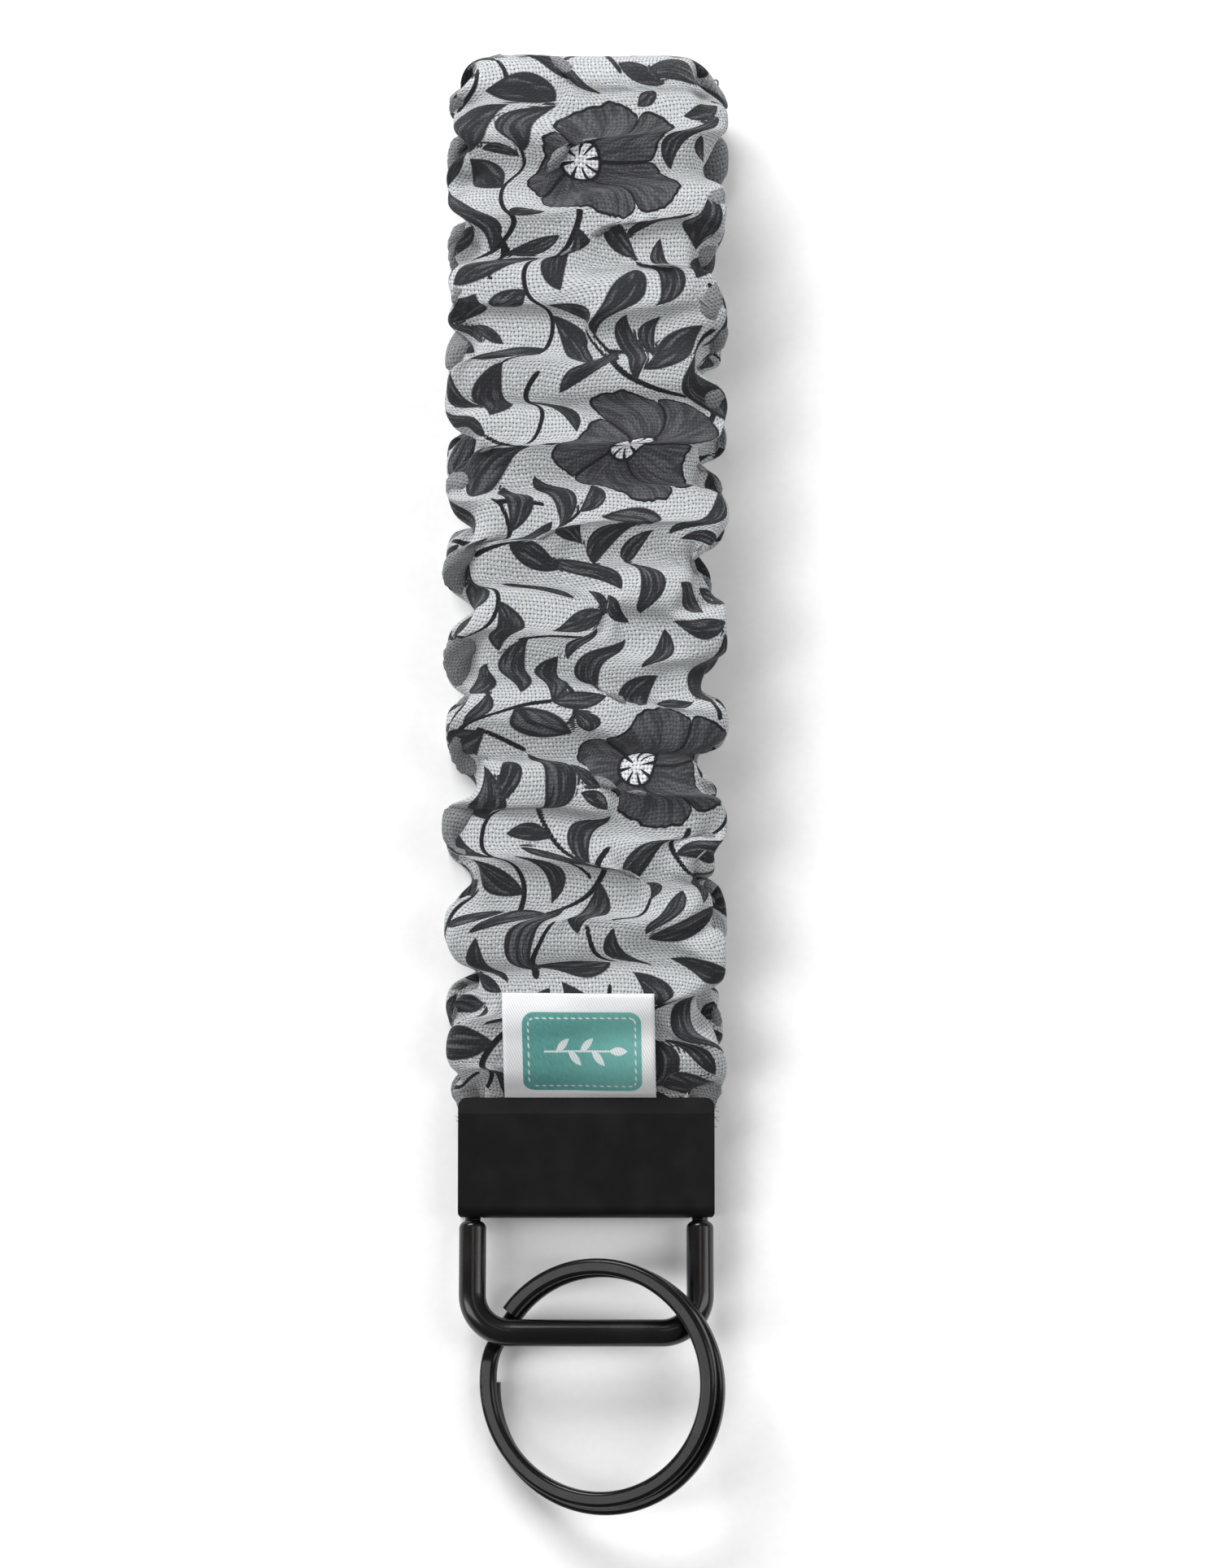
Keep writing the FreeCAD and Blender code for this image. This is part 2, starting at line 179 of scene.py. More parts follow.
GATHER = 1.26                   # how much longer the fabric is than the strap
NET = 0.78                      # rest size of a cell of the net
TUBE_AROUND = 72.0              # the tube's flat width, both sides added
TUBE_ROUND = 1.3                # radius of the flattened tube's edges
TUBE_SLACK = 1.0                # how much narrower than the cloth each of its faces starts
END_HALF_WIDTH = 15.3           # half the sleeve's width in the clamp
CORE_HALF = 1.15                # half the elastic's thickness and some room
SKIN = 0.28                     # the fabric's thickness
ROUNDS = 62                     # how many times the net is relaxed
ELASTIC_HALF = ELASTIC_HIGH[0]
COLUMNS = 4 * int(round(TUBE_AROUND / NET / 4))
ROWS = int(round(PATH_LENGTH * GATHER / NET))
CLOTH_LENGTH = PATH_LENGTH * GATHER
BEND_REACH = (2, 5, 8)          # cells that the fabric's stiffness reaches over
BEND_SHARE = 0.5
SHEAR_SHARE = 0.12
FOLD_BOW = 2.2                  # how far the fold curves back at its corners
EDGE_PUCKER = 0.8               # how far the net may stand out past the CAD sleeve's edge
STRAP_END = 16.0                # length at each end of the path without random creases
CREASE_SHORTEST = 14            # a random crease shorter than this spans the whole strap

# Creases pressed into the front layer: place along Y, depth, and the stretch across that they span
FRONT_CREASES = (
    (131.0, 1.0, -17, 17),
    (120.9, 0.7, -17, 2),
    (113.8, 1.0, -12, 17),
    (109.7, 0.8, -17, 6),
    (101.5, 0.4, 2, 17),
    (92.9, 1.0, -6, 17),
    (84.7, 0.9, -17, 17),
    (72.3, 0.9, -17, 17),
    (60.3, 0.9, -17, 17),
    (49.3, 1.0, -17, 17),
    (40.5, 0.4, -17, -4),
    (33.1, 0.8, 0, 17),
    (22.6, 0.9, -17, 1),
)
CREASE_WIDTH = 0.9


def other_creases():
    """Creases at random on the faces that FRONT_CREASES doesn't cover: side 1 is the outer face."""
    random = np.random.RandomState(11)
    creases = []
    s = STRAP_END
    while s < PATH_LENGTH - STRAP_END:
        for side in (-1, 1):
            low, high = sorted(random.uniform(-22, 22, 2))
            place = s + random.uniform(-2.5, 2.5)
            depth = random.uniform(0.6, 1.0)
            if high - low < CREASE_SHORTEST:
                low, high = -17, 17
            if side < 0 or place < front_s(FOLD_Y) - 4:
                creases.append((place, depth, low, high, side))
        s += random.uniform(8, 14)
    return creases


def layer_room(s):
    """Half thickness and half width that the strap has room for at each arc length."""
    y = np.interp(s, PATH_S, PATH_POINTS[:, 0])
    squeezed = (LAYER_CLAMPED - 0.02) / 2
    half = squeezed + (LAYER / 2 - squeezed) * ramp(y, MOUTH_Y - LIP, MOUTH_Y + SWELL)
    widest = HALF_WIDTH + EDGE_PUCKER
    width = END_HALF_WIDTH + (widest - END_HALF_WIDTH) * ramp(y, MOUTH_Y - 4, MOUTH_Y + 2)
    return half, width


def tube_section(u):
    """The flattened tube's cross-section at the share u around, from the seam at its right edge
    over the outer face and back: x and n."""
    arc = math.pi * TUBE_ROUND
    straight = TUBE_AROUND / 2 - arc - TUBE_SLACK
    half = straight / 2
    d = u * 2 * (straight + arc)
    turn = np.where(d < arc / 2, d, d - 2 * (straight + arc)) / TUBE_ROUND
    right = half + TUBE_ROUND * np.cos(turn)
    rise = TUBE_ROUND * np.sin(turn)
    angle = (d - arc / 2 - straight) / TUBE_ROUND
    left = -half - TUBE_ROUND * np.sin(angle)
    spans = [d < arc / 2, d < arc / 2 + straight, d < arc * 1.5 + straight,
             d <= arc * 1.5 + 2 * straight]
    x = np.select(spans, [right, half - (d - arc / 2), left, -half + (d - arc * 1.5 - straight)], right)
    n = np.select(spans, [rise, TUBE_ROUND, TUBE_ROUND * np.cos(angle), -TUBE_ROUND], rise)
    return x, n


def starting_net():
    """The net before it settles: creases pressed in, and small ripples along both edges."""
    u = np.arange(COLUMNS) / COLUMNS
    x, n = tube_section(u)
    x = np.repeat(x[None, :], ROWS, 0)
    n = np.repeat(n[None, :], ROWS, 0)
    s = np.repeat(np.linspace(0, PATH_LENGTH, ROWS)[:, None], COLUMNS, 1)
    side = np.sign(n)
    edge = ramp(np.abs(x), 10.5, 16.5)
    around = np.repeat((u * 24)[None, :], ROWS, 0)
    puff = 0.45 + 0.35 * smooth_noise(around / 2, s / 9, 3, 12)
    creases = [(front_s(y), depth, low, high, 1) for y, depth, low, high in FRONT_CREASES]
    for place, depth, low, high, face in creases + other_creases():
        bow = 1.6 * smooth_noise(x / 9 + 40, np.full_like(x, place), 5)
        reach = ramp(x, low - 4, low) * (1 - ramp(x, high, high + 4))
        dip = depth * reach * np.exp(-((s - place - bow) / CREASE_WIDTH) ** 2)
        puff = puff - 2.0 * dip * (side == face)
    ripple = 0.8 * smooth_noise(around, s / 1.9, 8, 24) * edge
    fine = 0.12 * smooth_noise(around * 2, s / 1.2, 9, 48)
    n = n + side * (puff * (1 - 0.4 * edge) + ripple) + fine
    x = x + np.sign(x) * edge * 0.5 * smooth_noise(around, s / 2.3, 10, 24)
    return np.stack([x, s, n], -1)


def pull(points, a, b, rest, push, draw):
    """Moves paired points towards their rest distance: push when too near, draw when too far."""
    delta = points[b] - points[a]
    length = np.sqrt((delta * delta).sum(-1, keepdims=True)) + 1e-9
    gap = length - rest
    move = delta * (0.5 * np.where(gap < 0, push, draw) * gap / length)
    points[a] += move
    points[b] -= move


def shear(net, rest):
    """A weak pull along the cells' diagonals."""
    columns = np.arange(COLUMNS)
    for shift in (1, -1):
        slanted = (columns + shift) % COLUMNS
        for first in (0, 1):
            rows = np.arange(first, ROWS - 1, 2)[:, None]
            pull(net, (rows, columns), (rows + 1, slanted), rest, SHEAR_SHARE, SHEAR_SHARE)


def stiffen(net, along, around):
    """Keeps points a few cells apart from folding together."""
    for gap in BEND_REACH:
        for first in range(gap * 2):
            rows = np.arange(first, ROWS - gap, gap * 2)
            pull(net, rows, rows + gap, along * gap, BEND_SHARE, 0.0)
    turned = net.transpose(1, 0, 2)
    for first in range(4):
        columns = np.arange(first, COLUMNS, 4)
        pull(turned, columns, (columns + 2) % COLUMNS, around * 2, 0.1, 0.0)


def confine(net, half, wide, core, outer_limit, along):
    """Keeps the fabric off the elastic, inside its room, and in order along the strap."""
    x = net[:, :, 0]
    n = net[:, :, 2]
    outer = (np.arange(COLUMNS) < COLUMNS / 2)[None, :]
    inside = (np.abs(x) < ELASTIC_HALF + 0.4) & (np.abs(n) < core)
    n[:] = np.where(inside, np.where(outer, core, -core), n)
    excess = np.abs(n) - half
    n[:] = np.where(excess > 0, np.sign(n) * (half + excess * 0.85), n)
    n[:] = np.clip(n, -outer_limit[1], outer_limit[0])
    x[:] = np.clip(x, -wide, wide)
    short = np.maximum(0.12 * along - (net[1:, :, 1] - net[:-1, :, 1]), 0) * 0.5
    net[1:, :, 1] += short
    net[:-1, :, 1] -= short


def settle(net):
    """Relaxes the net: the fabric's length, a little stiffness, and the room that it has."""
    along = CLOTH_LENGTH / (ROWS - 1)
    around = TUBE_AROUND / COLUMNS
    ends = net[[0, -1]].copy()
    even = np.arange(0, COLUMNS, 2)
    turned = net.transpose(1, 0, 2)
    for _ in range(ROUNDS):
        for first in (0, 1):
            rows = np.arange(first, ROWS - 1, 2)
            pull(net, rows, rows + 1, along, 0.75, 1.0)
            columns = even + first
            pull(turned, columns, (columns + 1) % COLUMNS, around, 0.6, 1.0)
        shear(net, math.hypot(along, around))
        stiffen(net, along, around)
        half, wide = layer_room(net[:, 0, 1])
        middle_y = np.interp(net[:, 0, 1], PATH_S, PATH_POINTS[:, 0])
        swollen = ramp(middle_y, MOUTH_Y, MOUTH_Y + SWELL)
        on_table = net[:, 0, 1] < PATH_LENGTH / 2
        out_most = half + np.where(on_table, 0.0, swollen)
        in_most = half + 0.9 * ramp(middle_y, MOUTH_Y + SWELL + 10, MOUTH_Y + SWELL + 40)
        core = np.minimum(CORE_HALF, half * 0.62)
        confine(net, half[:, None], wide[:, None], core[:, None],
                (out_most[:, None], in_most[:, None]), along)
        net[[0, -1]] = ends
    return net


def smoothed(net, passes, share):
    """The net with each inner point moved towards its neighbours' mean."""
    for _ in range(passes):
        sides = np.roll(net, 1, 1) + np.roll(net, -1, 1)
        rows = net[1:-1]
        mean = (sides[1:-1] + net[:-2] + net[2:]) / 4
        net = net.copy()
        net[1:-1] = rows + share * (mean - rows)
    return net


def refined(net):
    """The net with twice as many rows and columns, along smooth curves."""
    before, after = np.roll(net, 1, 1), np.roll(net, -1, 1)
    half = (9 * (net + after) - before - np.roll(net, -2, 1)) / 16
    wide = np.stack([net, half], 2).reshape(len(net), -1, net.shape[2])
    padded = np.concatenate([2 * wide[:1] - wide[1:2], wide, 2 * wide[-1:] - wide[-2:-1]])
    half = (9 * (padded[1:-2] + padded[2:-1]) - padded[:-3] - padded[3:]) / 16
    rows = np.empty((2 * len(wide) - 1,) + wide.shape[1:])
    rows[0::2] = wide
    rows[1::2] = half
    return rows


def new_object(name, vertices, faces, smooth=True):
    """A mesh object from points in millimetres."""
    mesh = bpy.data.meshes.new(name)
    mesh.from_pydata((np.asarray(vertices, float) * MM).tolist(), [], faces)
    mesh.update()
    if smooth:
        mesh.polygons.foreach_set("use_smooth", np.ones(len(mesh.polygons), bool))
    obj = bpy.data.objects.new(name, mesh)
    bpy.context.scene.collection.objects.link(obj)
    return obj


def point_attribute(obj, name, values):
    layer = obj.data.attributes.new(name, "FLOAT", "POINT")
    layer.data.foreach_set("value", np.ascontiguousarray(values, np.float32))


def corner_vertices(mesh):
    corner = np.empty(len(mesh.loops), int)
    mesh.loops.foreach_get("vertex_index", corner)
    return corner


def write_uv(mesh, u, v):
    """The UV map, each corner's place on the flat cloth, in units of 0.1 m."""
    layer = mesh.uv_layers.new(name="cloth")
    layer.data.foreach_set("uv", np.stack([u, v], 1).reshape(-1) / 100)


def net_faces(rows, columns, start, flip):
    faces = []
    for r in range(rows - 1):
        base = start + r * columns
        for c in range(columns):
            d = (c + 1) % columns
            face = (base + c, base + d, base + columns + d, base + columns + c)
            faces.append(face[::-1] if flip else face)
    return faces


def end_faces(row_out, row_in, columns, flip):
    """Joins the fine outer skin's end ring to the coarser inner one, along one end of the tube."""
    faces = []
    for c in range(columns):
        a = row_out + 2 * c
        b = a + 1
        d = row_out + (2 * c + 2) % (2 * columns)
        e = row_in + c
        f = row_in + (c + 1) % columns
        for face in ((a, e, b), (b, e, f), (b, f, d)):
            faces.append(face[::-1] if flip else face)
    return faces


def surface_normals(points):
    along = np.gradient(points, axis=0)
    around = np.roll(points, -1, 1) - np.roll(points, 1, 1)
    normal = np.cross(along, around)
    return normal / (np.linalg.norm(normal, axis=-1, keepdims=True) + 1e-9)


def sleeve_shape():
    """The settled sleeve: outer points, inner points, and the outer points' places on the cloth."""
    net = smoothed(settle(starting_net()), 3, 0.5)
    fine = refined(net)
    outer = onto_path(fine[:, :, 0], fine[:, :, 1], fine[:, :, 2])
    coarse = onto_path(net[:, :, 0], net[:, :, 1], net[:, :, 2])
    normal = surface_normals(coarse)
    middle = coarse.mean(1, keepdims=True)
    if ((coarse - middle) * normal).sum() < 0:
        normal = -normal
    inner = coarse - normal * SKIN
    for skin in (outer, inner):
        limit = np.interp(skin[:, :, 1], [4.0, MOUTH_Y, 12.0], [15.4, 16.5, 99.0])
        skin[:, :, 0] = np.clip(skin[:, :, 0], -limit, limit)
        bow = FOLD_BOW * (np.abs(skin[:, :, 0]) / HALF_WIDTH) ** 6
        skin[:, :, 1] -= bow * ramp(skin[:, :, 1], FOLD_Y, FOLD_Y + 6)
    outer[:, :, 2] = np.maximum(outer[:, :, 2], 0.02)
    inner[:, :, 2] = np.maximum(inner[:, :, 2], 0.02 + SKIN / 2)
    u = np.arange(fine.shape[1]) / fine.shape[1] * TUBE_AROUND
    v = np.arange(fine.shape[0]) / (fine.shape[0] - 1) * CLOTH_LENGTH
    return outer, inner, u, v, fine


# The print: vines with leaves and a few flowers, laid out on the flat cloth

STEM = 0.31                     # half the width of a vine
FLOWER_RADIUS = 9.4
OCCUPIED_CELL = 0.5
FLOWERS_ON_FRONT = ((-0.6, 124.0), (5.4, 88.2), (6.4, 48.6))   # X and Y of their centres
VINE_TRIES = 330
LEAF_TRIES = 2600
NONE_NEAR = 9.0                 # distance given to points that no vine or leaf comes near
NO_FLOWER = 99.0


def towards(heading):
    return np.array([math.cos(heading), math.sin(heading)])


class ClothMap:
    """Which parts of the flat cloth are taken, so that leaves keep apart."""

    def __init__(self):
        self.wide = int(TUBE_AROUND / OCCUPIED_CELL)
        self.long = int(CLOTH_LENGTH / OCCUPIED_CELL) + 1
        self.taken = np.zeros((self.wide, self.long), bool)

    def cells(self, points):
        u = np.floor(points[:, 0] / OCCUPIED_CELL).astype(int) % self.wide
        v = np.clip(np.floor(points[:, 1] / OCCUPIED_CELL).astype(int), 0, self.long - 1)
        return u, v

    def free(self, points):
        return not self.taken[self.cells(points)].any()

    def take(self, points, margin):
        for du in np.arange(-margin, margin + 0.01, OCCUPIED_CELL):
            for dv in np.arange(-margin, margin + 0.01, OCCUPIED_CELL):
                if du * du + dv * dv <= margin * margin * 1.01:
                    self.taken[self.cells(points + (du, dv))] = True


def leaf_points(leaf):
    """Points over a leaf: its base, heading, length, half width and bow."""
    base, heading, length, half, bow = leaf
    t = np.repeat(np.linspace(0.05, 1, 14), 5)
    across = np.tile(np.linspace(-1, 1, 5), 14) * half * np.sin(math.pi * t) ** 0.8
    across = across + bow * 4 * t * (1 - t)
    direction = towards(heading)
    normal = np.array([-direction[1], direction[0]])
    return base + t[:, None] * length * direction + across[:, None] * normal


def try_leaf(cloth, random, leaves, base, heading, size):
    for scale in (1.0, 0.8, 0.62):
        length = random.uniform(7.4, 11.0) * size * scale
        half = length * random.uniform(0.165, 0.205)
        bow = length * random.uniform(-0.14, 0.14)
        leaf = (base, heading, length, half, bow)
        points = leaf_points(leaf)
        if cloth.free(points[15:]):
            cloth.take(points, 0.3)
            leaves.append(leaf)
            return True
    return False


def grow_vine(cloth, random, start, heading, length, vines, leaves):
    """A meandering line with leaves on alternate sides."""
    point = np.array(start, float)
    turn = random.uniform(-0.05, 0.05)
    points = [point.copy()]
    since, side = 2.0, random.choice([-1, 1])
    for step in range(int(length)):
        turn = 0.9 * turn + random.uniform(-0.045, 0.045)
        heading += turn
        point = point + towards(heading)
        ahead = np.array([point + 0.8 * towards(heading)])
        if step > 2 and not cloth.free(ahead):
            break
        points.append(point.copy())
        since += 1
        if since > random.uniform(3.4, 5.2):
            lean = heading + side * random.uniform(0.55, 1.15)
            if try_leaf(cloth, random, leaves, point.copy(), lean, 1.0):
                since = 0.0
            side = -side
    if len(points) < 5:
        return
    try_leaf(cloth, random, leaves, point.copy(), heading, 0.9)
    vines.append(np.array(points))
    cloth.take(np.array(points), 0.4)


def lay_out_print(flowers):
    random = np.random.RandomState(23)
    cloth = ClothMap()
    vines, leaves = [], []
    angle = np.linspace(0, 2 * math.pi, 60)
    for centre in flowers:
        for radius in np.arange(0, FLOWER_RADIUS, OCCUPIED_CELL):
            ring = np.stack([np.cos(angle), np.sin(angle)], 1) * radius
            cloth.take(np.array(centre) + ring, 0.3)
    for centre in flowers:
        for k in range(3):
            heading = random.uniform(0, 2) + k * 2.1
            start = np.array(centre) + (FLOWER_RADIUS + 0.4) * towards(heading)
            grow_vine(cloth, random, start, heading, random.uniform(12, 26), vines, leaves)
    for _ in range(VINE_TRIES):
        start = (random.uniform(0, TUBE_AROUND), random.uniform(0, CLOTH_LENGTH))
        if cloth.free(np.array([start])):
            grow_vine(cloth, random, start, random.uniform(0, 2 * math.pi), random.uniform(10, 30),
                      vines, leaves)
    for _ in range(LEAF_TRIES):
        start = np.array([random.uniform(0, TUBE_AROUND), random.uniform(0, CLOTH_LENGTH)])
        if cloth.free(start[None]):
            try_leaf(cloth, random, leaves, start, random.uniform(0, 2 * math.pi), 0.85)
    return vines, leaves


def wrapped(u, centre):
    """Distance around the tube from a place on it, the shorter way."""
    return (u - centre + TUBE_AROUND / 2) % TUBE_AROUND - TUBE_AROUND / 2


def window(u, v, low, high, origin):
    """The block of the cloth's points in a box, which may wrap around the tube, and their places
    from the origin."""
    rows = np.nonzero((v > low[1]) & (v < high[1]))[0]
    middle = (low[0] + high[0]) / 2
    columns = np.nonzero(np.abs(wrapped(u, middle)) < (high[0] - low[0]) / 2)[0]
    du = wrapped(u[columns], origin[0])[None, :]
    dv = (v[rows] - origin[1])[:, None]
    return np.ix_(rows, columns), du, dv


def vine_field(u, v, vines):
    """How far each point lies outside the nearest vine."""
    near = np.full((len(v), len(u)), NONE_NEAR)
    for points in vines:
        for count, (a, b) in enumerate(zip(points, points[1:])):
            block, du, dv = window(u, v, np.minimum(a, b) - 1.4, np.maximum(a, b) + 1.4, a)
            run = b - a
            t = np.clip((du * run[0] + dv * run[1]) / run.dot(run), 0, 1)
            taper = STEM * (1.1 - 0.35 * count / len(points))
            d = np.hypot(du - t * run[0], dv - t * run[1]) - taper
            near[block] = np.minimum(near[block], d)
    return near


def leaf_fields(u, v, leaves):
    """Distance outside the nearest leaf, the place along and across it, and a value of its own."""
    shape = (len(v), len(u))
    near = np.full(shape, NONE_NEAR)
    along = np.full(shape, 0.5)
    across = np.full(shape, NONE_NEAR)
    own = np.zeros(shape)
    for number, (base, heading, length, half, bow) in enumerate(leaves):
        c, s = math.cos(heading), math.sin(heading)
        tip = base + length * np.array([c, s])
        reach = half + abs(bow) + 1.5
        low = np.minimum(base, tip) - reach
        high = np.maximum(base, tip) + reach
        block, du, dv = window(u, v, low, high, base)
        t = (du * c + dv * s) / length
        inside = np.clip(t, 0, 1)
        q = (-du * s + dv * c - bow * 4 * inside * (1 - inside)) / half
        d = np.abs(q) * half - half * np.sin(math.pi * inside) ** 0.8
        past = np.maximum(-t, t - 1) * length
        d = np.where(past > 0, np.hypot(np.maximum(past, 0), q * half), d)
        nearer = d < near[block]
        for field, value in ((near, d), (along, t), (across, q), (own, number * 0.37 % 1)):
            field[block] = np.where(nearer, value, field[block])
    return near, along, across, own


def flower_fields(u, v, flowers):
    """Each point's place from the centre of the flower that it is near."""
    beside = np.full((len(v), len(u)), NO_FLOWER)
    above = beside.copy()
    for centre in flowers:
        block, du, dv = window(u, v, np.array(centre) - 13, np.array(centre) + 13, centre)
        beside[block] = du
        above[block] = dv
    return beside, above


def print_fields(u, v, flowers, vines, leaves):
    """The print's attributes, per point of the cloth."""
    near, along, across, own = leaf_fields(u, v, leaves)
    beside, above = flower_fields(u, v, flowers)
    return {"vine": vine_field(u, v, vines), "leaf_near": near, "leaf_t": along, "leaf_q": across,
            "leaf_id": own, "flower_u": beside, "flower_v": above}


def flower_places(outer, fine, u, v):
    """Flowers on the cloth: three at chosen places on the front, others spread over the rest."""
    places = []
    half = outer.shape[1] // 2
    shown = outer[:, :half]
    front = fine[:, :half, 1] > PATH_LENGTH / 2
    for x, y in FLOWERS_ON_FRONT:
        distance = np.hypot(shown[:, :, 0] - x, shown[:, :, 1] - y) + np.where(front, 0, 99)
        row, column = np.unravel_index(np.argmin(distance), distance.shape)
        places.append((u[column], v[row]))
    low_v = min(p[1] for p in places)
    random = np.random.RandomState(5)
    outer_face = (18.0, low_v - 34, 17.0, 6, 40, 46)
    inner_face = (30.0, CLOTH_LENGTH - 20, 54.0, 5, 42, 52)
    for place_v, last_v, middle, spread, nearest, farthest in (outer_face, inner_face):
        while place_v < last_v:
            places.append((middle + random.uniform(-spread, spread), place_v))
            place_v += random.uniform(nearest, farthest)
    return places


def make_sleeve():
    outer, inner, u, v, fine = sleeve_shape()
    rows, columns = outer.shape[:2]
    outer_count = rows * columns
    inner_rows, inner_columns = inner.shape[:2]
    inner_count = inner_rows * inner_columns
    vertices = np.concatenate([outer.reshape(-1, 3), inner.reshape(-1, 3)])
    outward = np.cross(outer[1, 1] - outer[0, 1], outer[0, 2] - outer[0, 1])
    flip = outward.dot(outer[0, 1] - outer[0].mean(0)) > 0
    faces = net_faces(rows, columns, 0, flip)
    faces += net_faces(inner_rows, inner_columns, outer_count, not flip)
    faces += end_faces(0, outer_count, inner_columns, flip)
    last_inner = outer_count + (inner_rows - 1) * inner_columns
    faces += end_faces((rows - 1) * columns, last_inner, inner_columns, not flip)
    sleeve = new_object("printed_sleeve", vertices, faces)
    place_on_cloth(sleeve, rows, columns, inner_rows, inner_columns)
    flowers = flower_places(outer, fine, u, v)
    vines, leaves = lay_out_print(flowers)
    fields = print_fields(u, v, flowers, vines, leaves)
    for name, field in fields.items():
        inner_part = np.full(inner_count, NONE_NEAR)
        point_attribute(sleeve, name, np.r_[field.reshape(-1), inner_part])
    # Painted shade: the cloth darkened in its creases by their depth, and all over the inner skin inside
    # the tube.
    painted_shade = crease_shade(fine)
    point_attribute(sleeve, "painted_shade", np.r_[painted_shade.reshape(-1), np.ones(inner_count)])
    return sleeve, fine


def crease_shade(fine):
    """How deep each point lies below the cloth around it, from 0 to 1: the share of painted shade in the
    creases.
    """
    height = np.abs(fine[:, :, 2])
    around = height.copy()
    for _ in range(8):
        around[1:-1] = (around[:-2] + around[2:] + around[1:-1]) / 3
    return np.clip((around - height) / 0.7, 0, 1)


def place_on_cloth(sleeve, rows, columns, inner_rows, inner_columns):
    """The sleeve's UV map; faces across the seam run on past the tube's width."""
    mesh = sleeve.data
    corner = corner_vertices(mesh)
    outer_count = rows * columns
    on_inner = corner >= outer_count
    index = np.where(on_inner, corner - outer_count, corner)
    wide = np.where(on_inner, inner_columns, columns)
    cu = (index % wide) / wide * TUBE_AROUND
    long = np.where(on_inner, inner_rows, rows)
    cv = (index // wide) / (long - 1) * CLOTH_LENGTH
    starts = np.empty(len(mesh.polygons), int)
    totals = np.empty(len(mesh.polygons), int)
    mesh.polygons.foreach_get("loop_start", starts)
    mesh.polygons.foreach_get("loop_total", totals)
    face = np.repeat(np.arange(len(starts)), totals)
    widest = np.zeros(len(starts))
    np.maximum.at(widest, face, cu)
    crosses = (widest[face] > TUBE_AROUND * 0.75) & (cu < TUBE_AROUND * 0.25)
    cu = np.where(crosses, cu + TUBE_AROUND, cu)
    write_uv(mesh, cu, cv)


# Materials

class Nodes:
    """A small writer of shader nodes."""

    def __init__(self, name):
        self.material = bpy.data.materials.new(name)
        self.material.use_nodes = True
        self.tree = self.material.node_tree
        self.shader = self.tree.nodes["Principled BSDF"]

    def put(self, socket, value):
        if isinstance(value, bpy.types.NodeSocket):
            self.tree.links.new(value, socket)
        elif isinstance(value, (tuple, list)) and len(value) == 3 and socket.type == "RGBA":
            socket.default_value = (*value, 1.0)
        else:
            socket.default_value = value

    def add(self, kind, inputs, output=0, **settings):
        """A new node's output, the node's settings and inputs given."""
        node = self.tree.nodes.new("ShaderNode" + kind)
        for name, value in settings.items():
            setattr(node, name, value)
        for socket, value in inputs.items():
            self.put(node.inputs[socket], value)
        return node.outputs[output]

    def math(self, operation, a, b=0.0, c=0.0, clamp=False):
        return self.add("Math", {0: a, 1: b, 2: c}, operation=operation, use_clamp=clamp)

    def times(self, a, b):
        return self.math("MULTIPLY", a, b)

    def plus(self, a, b):
        return self.math("ADD", a, b)

    def minus(self, a, b):
        return self.math("SUBTRACT", a, b)

    def step(self, value, low, high, to_low=0.0, to_high=1.0):
        inputs = {0: value, 1: low, 2: high, 3: to_low, 4: to_high}
        return self.add("MapRange", inputs, interpolation_type="SMOOTHSTEP")

    def mix(self, share, a, b, mode="MIX"):
        return self.add("Mix", {0: share, 6: a, 7: b}, 2, data_type="RGBA", blend_type=mode)

    def attribute(self, name):
        return self.add("Attribute", {}, "Fac", attribute_name=name)

    def split(self, vector):
        return [self.add("SeparateXYZ", {0: vector}, axis) for axis in range(3)]

    def join(self, x, y, z=0.0):
        return self.add("CombineXYZ", {0: x, 1: y, 2: z})

    def grey(self, tone):
        return self.join(tone, tone, tone)

    def coordinate(self):
        return self.add("TexCoord", {}, "Object")

    def cloth_place(self):
        """The place on the flat cloth in millimetres: across and along."""
        place = self.split(self.add("UVMap", {}, uv_map="cloth"))
        return self.times(place[0], 100.0), self.times(place[1], 100.0)

    def noise(self, vector, scale, detail=3.0, rough=0.5):
        inputs = {"Vector": vector, "Scale": scale, "Detail": detail, "Roughness": rough}
        return self.add("TexNoise", inputs)

    def bump(self, height, strength, distance, normal=None):
        inputs = {"Strength": strength, "Distance": distance, "Height": height}
        if normal is not None:
            inputs["Normal"] = normal
        return self.add("Bump", inputs)

    def set(self, **values):
        for name, value in values.items():
            self.put(self.shader.inputs[name.replace("_", " ")], value)
        return self.material


CLOTH_GREY = (0.455, 0.475, 0.485)
LEAF_DARK = (0.020, 0.021, 0.024)
LEAF_LIGHT = (0.088, 0.090, 0.098)
VINE_BLACK = (0.010, 0.010, 0.012)
PETAL_DARK = (0.040, 0.041, 0.046)
PETAL_LIGHT = (0.085, 0.087, 0.095)
FLOWER_WHITE = (0.62, 0.63, 0.66)
THREAD_PITCH = 0.45             # from one thread of the weave to the next, in millimetres
PETALS = 5
ELASTIC_RIB = 0.0012            # the elastic's ribs and cross threads, and the sewing thread's
ELASTIC_PICK = 0.0007           # twist, in metres
TWIST_PITCH = 0.0005


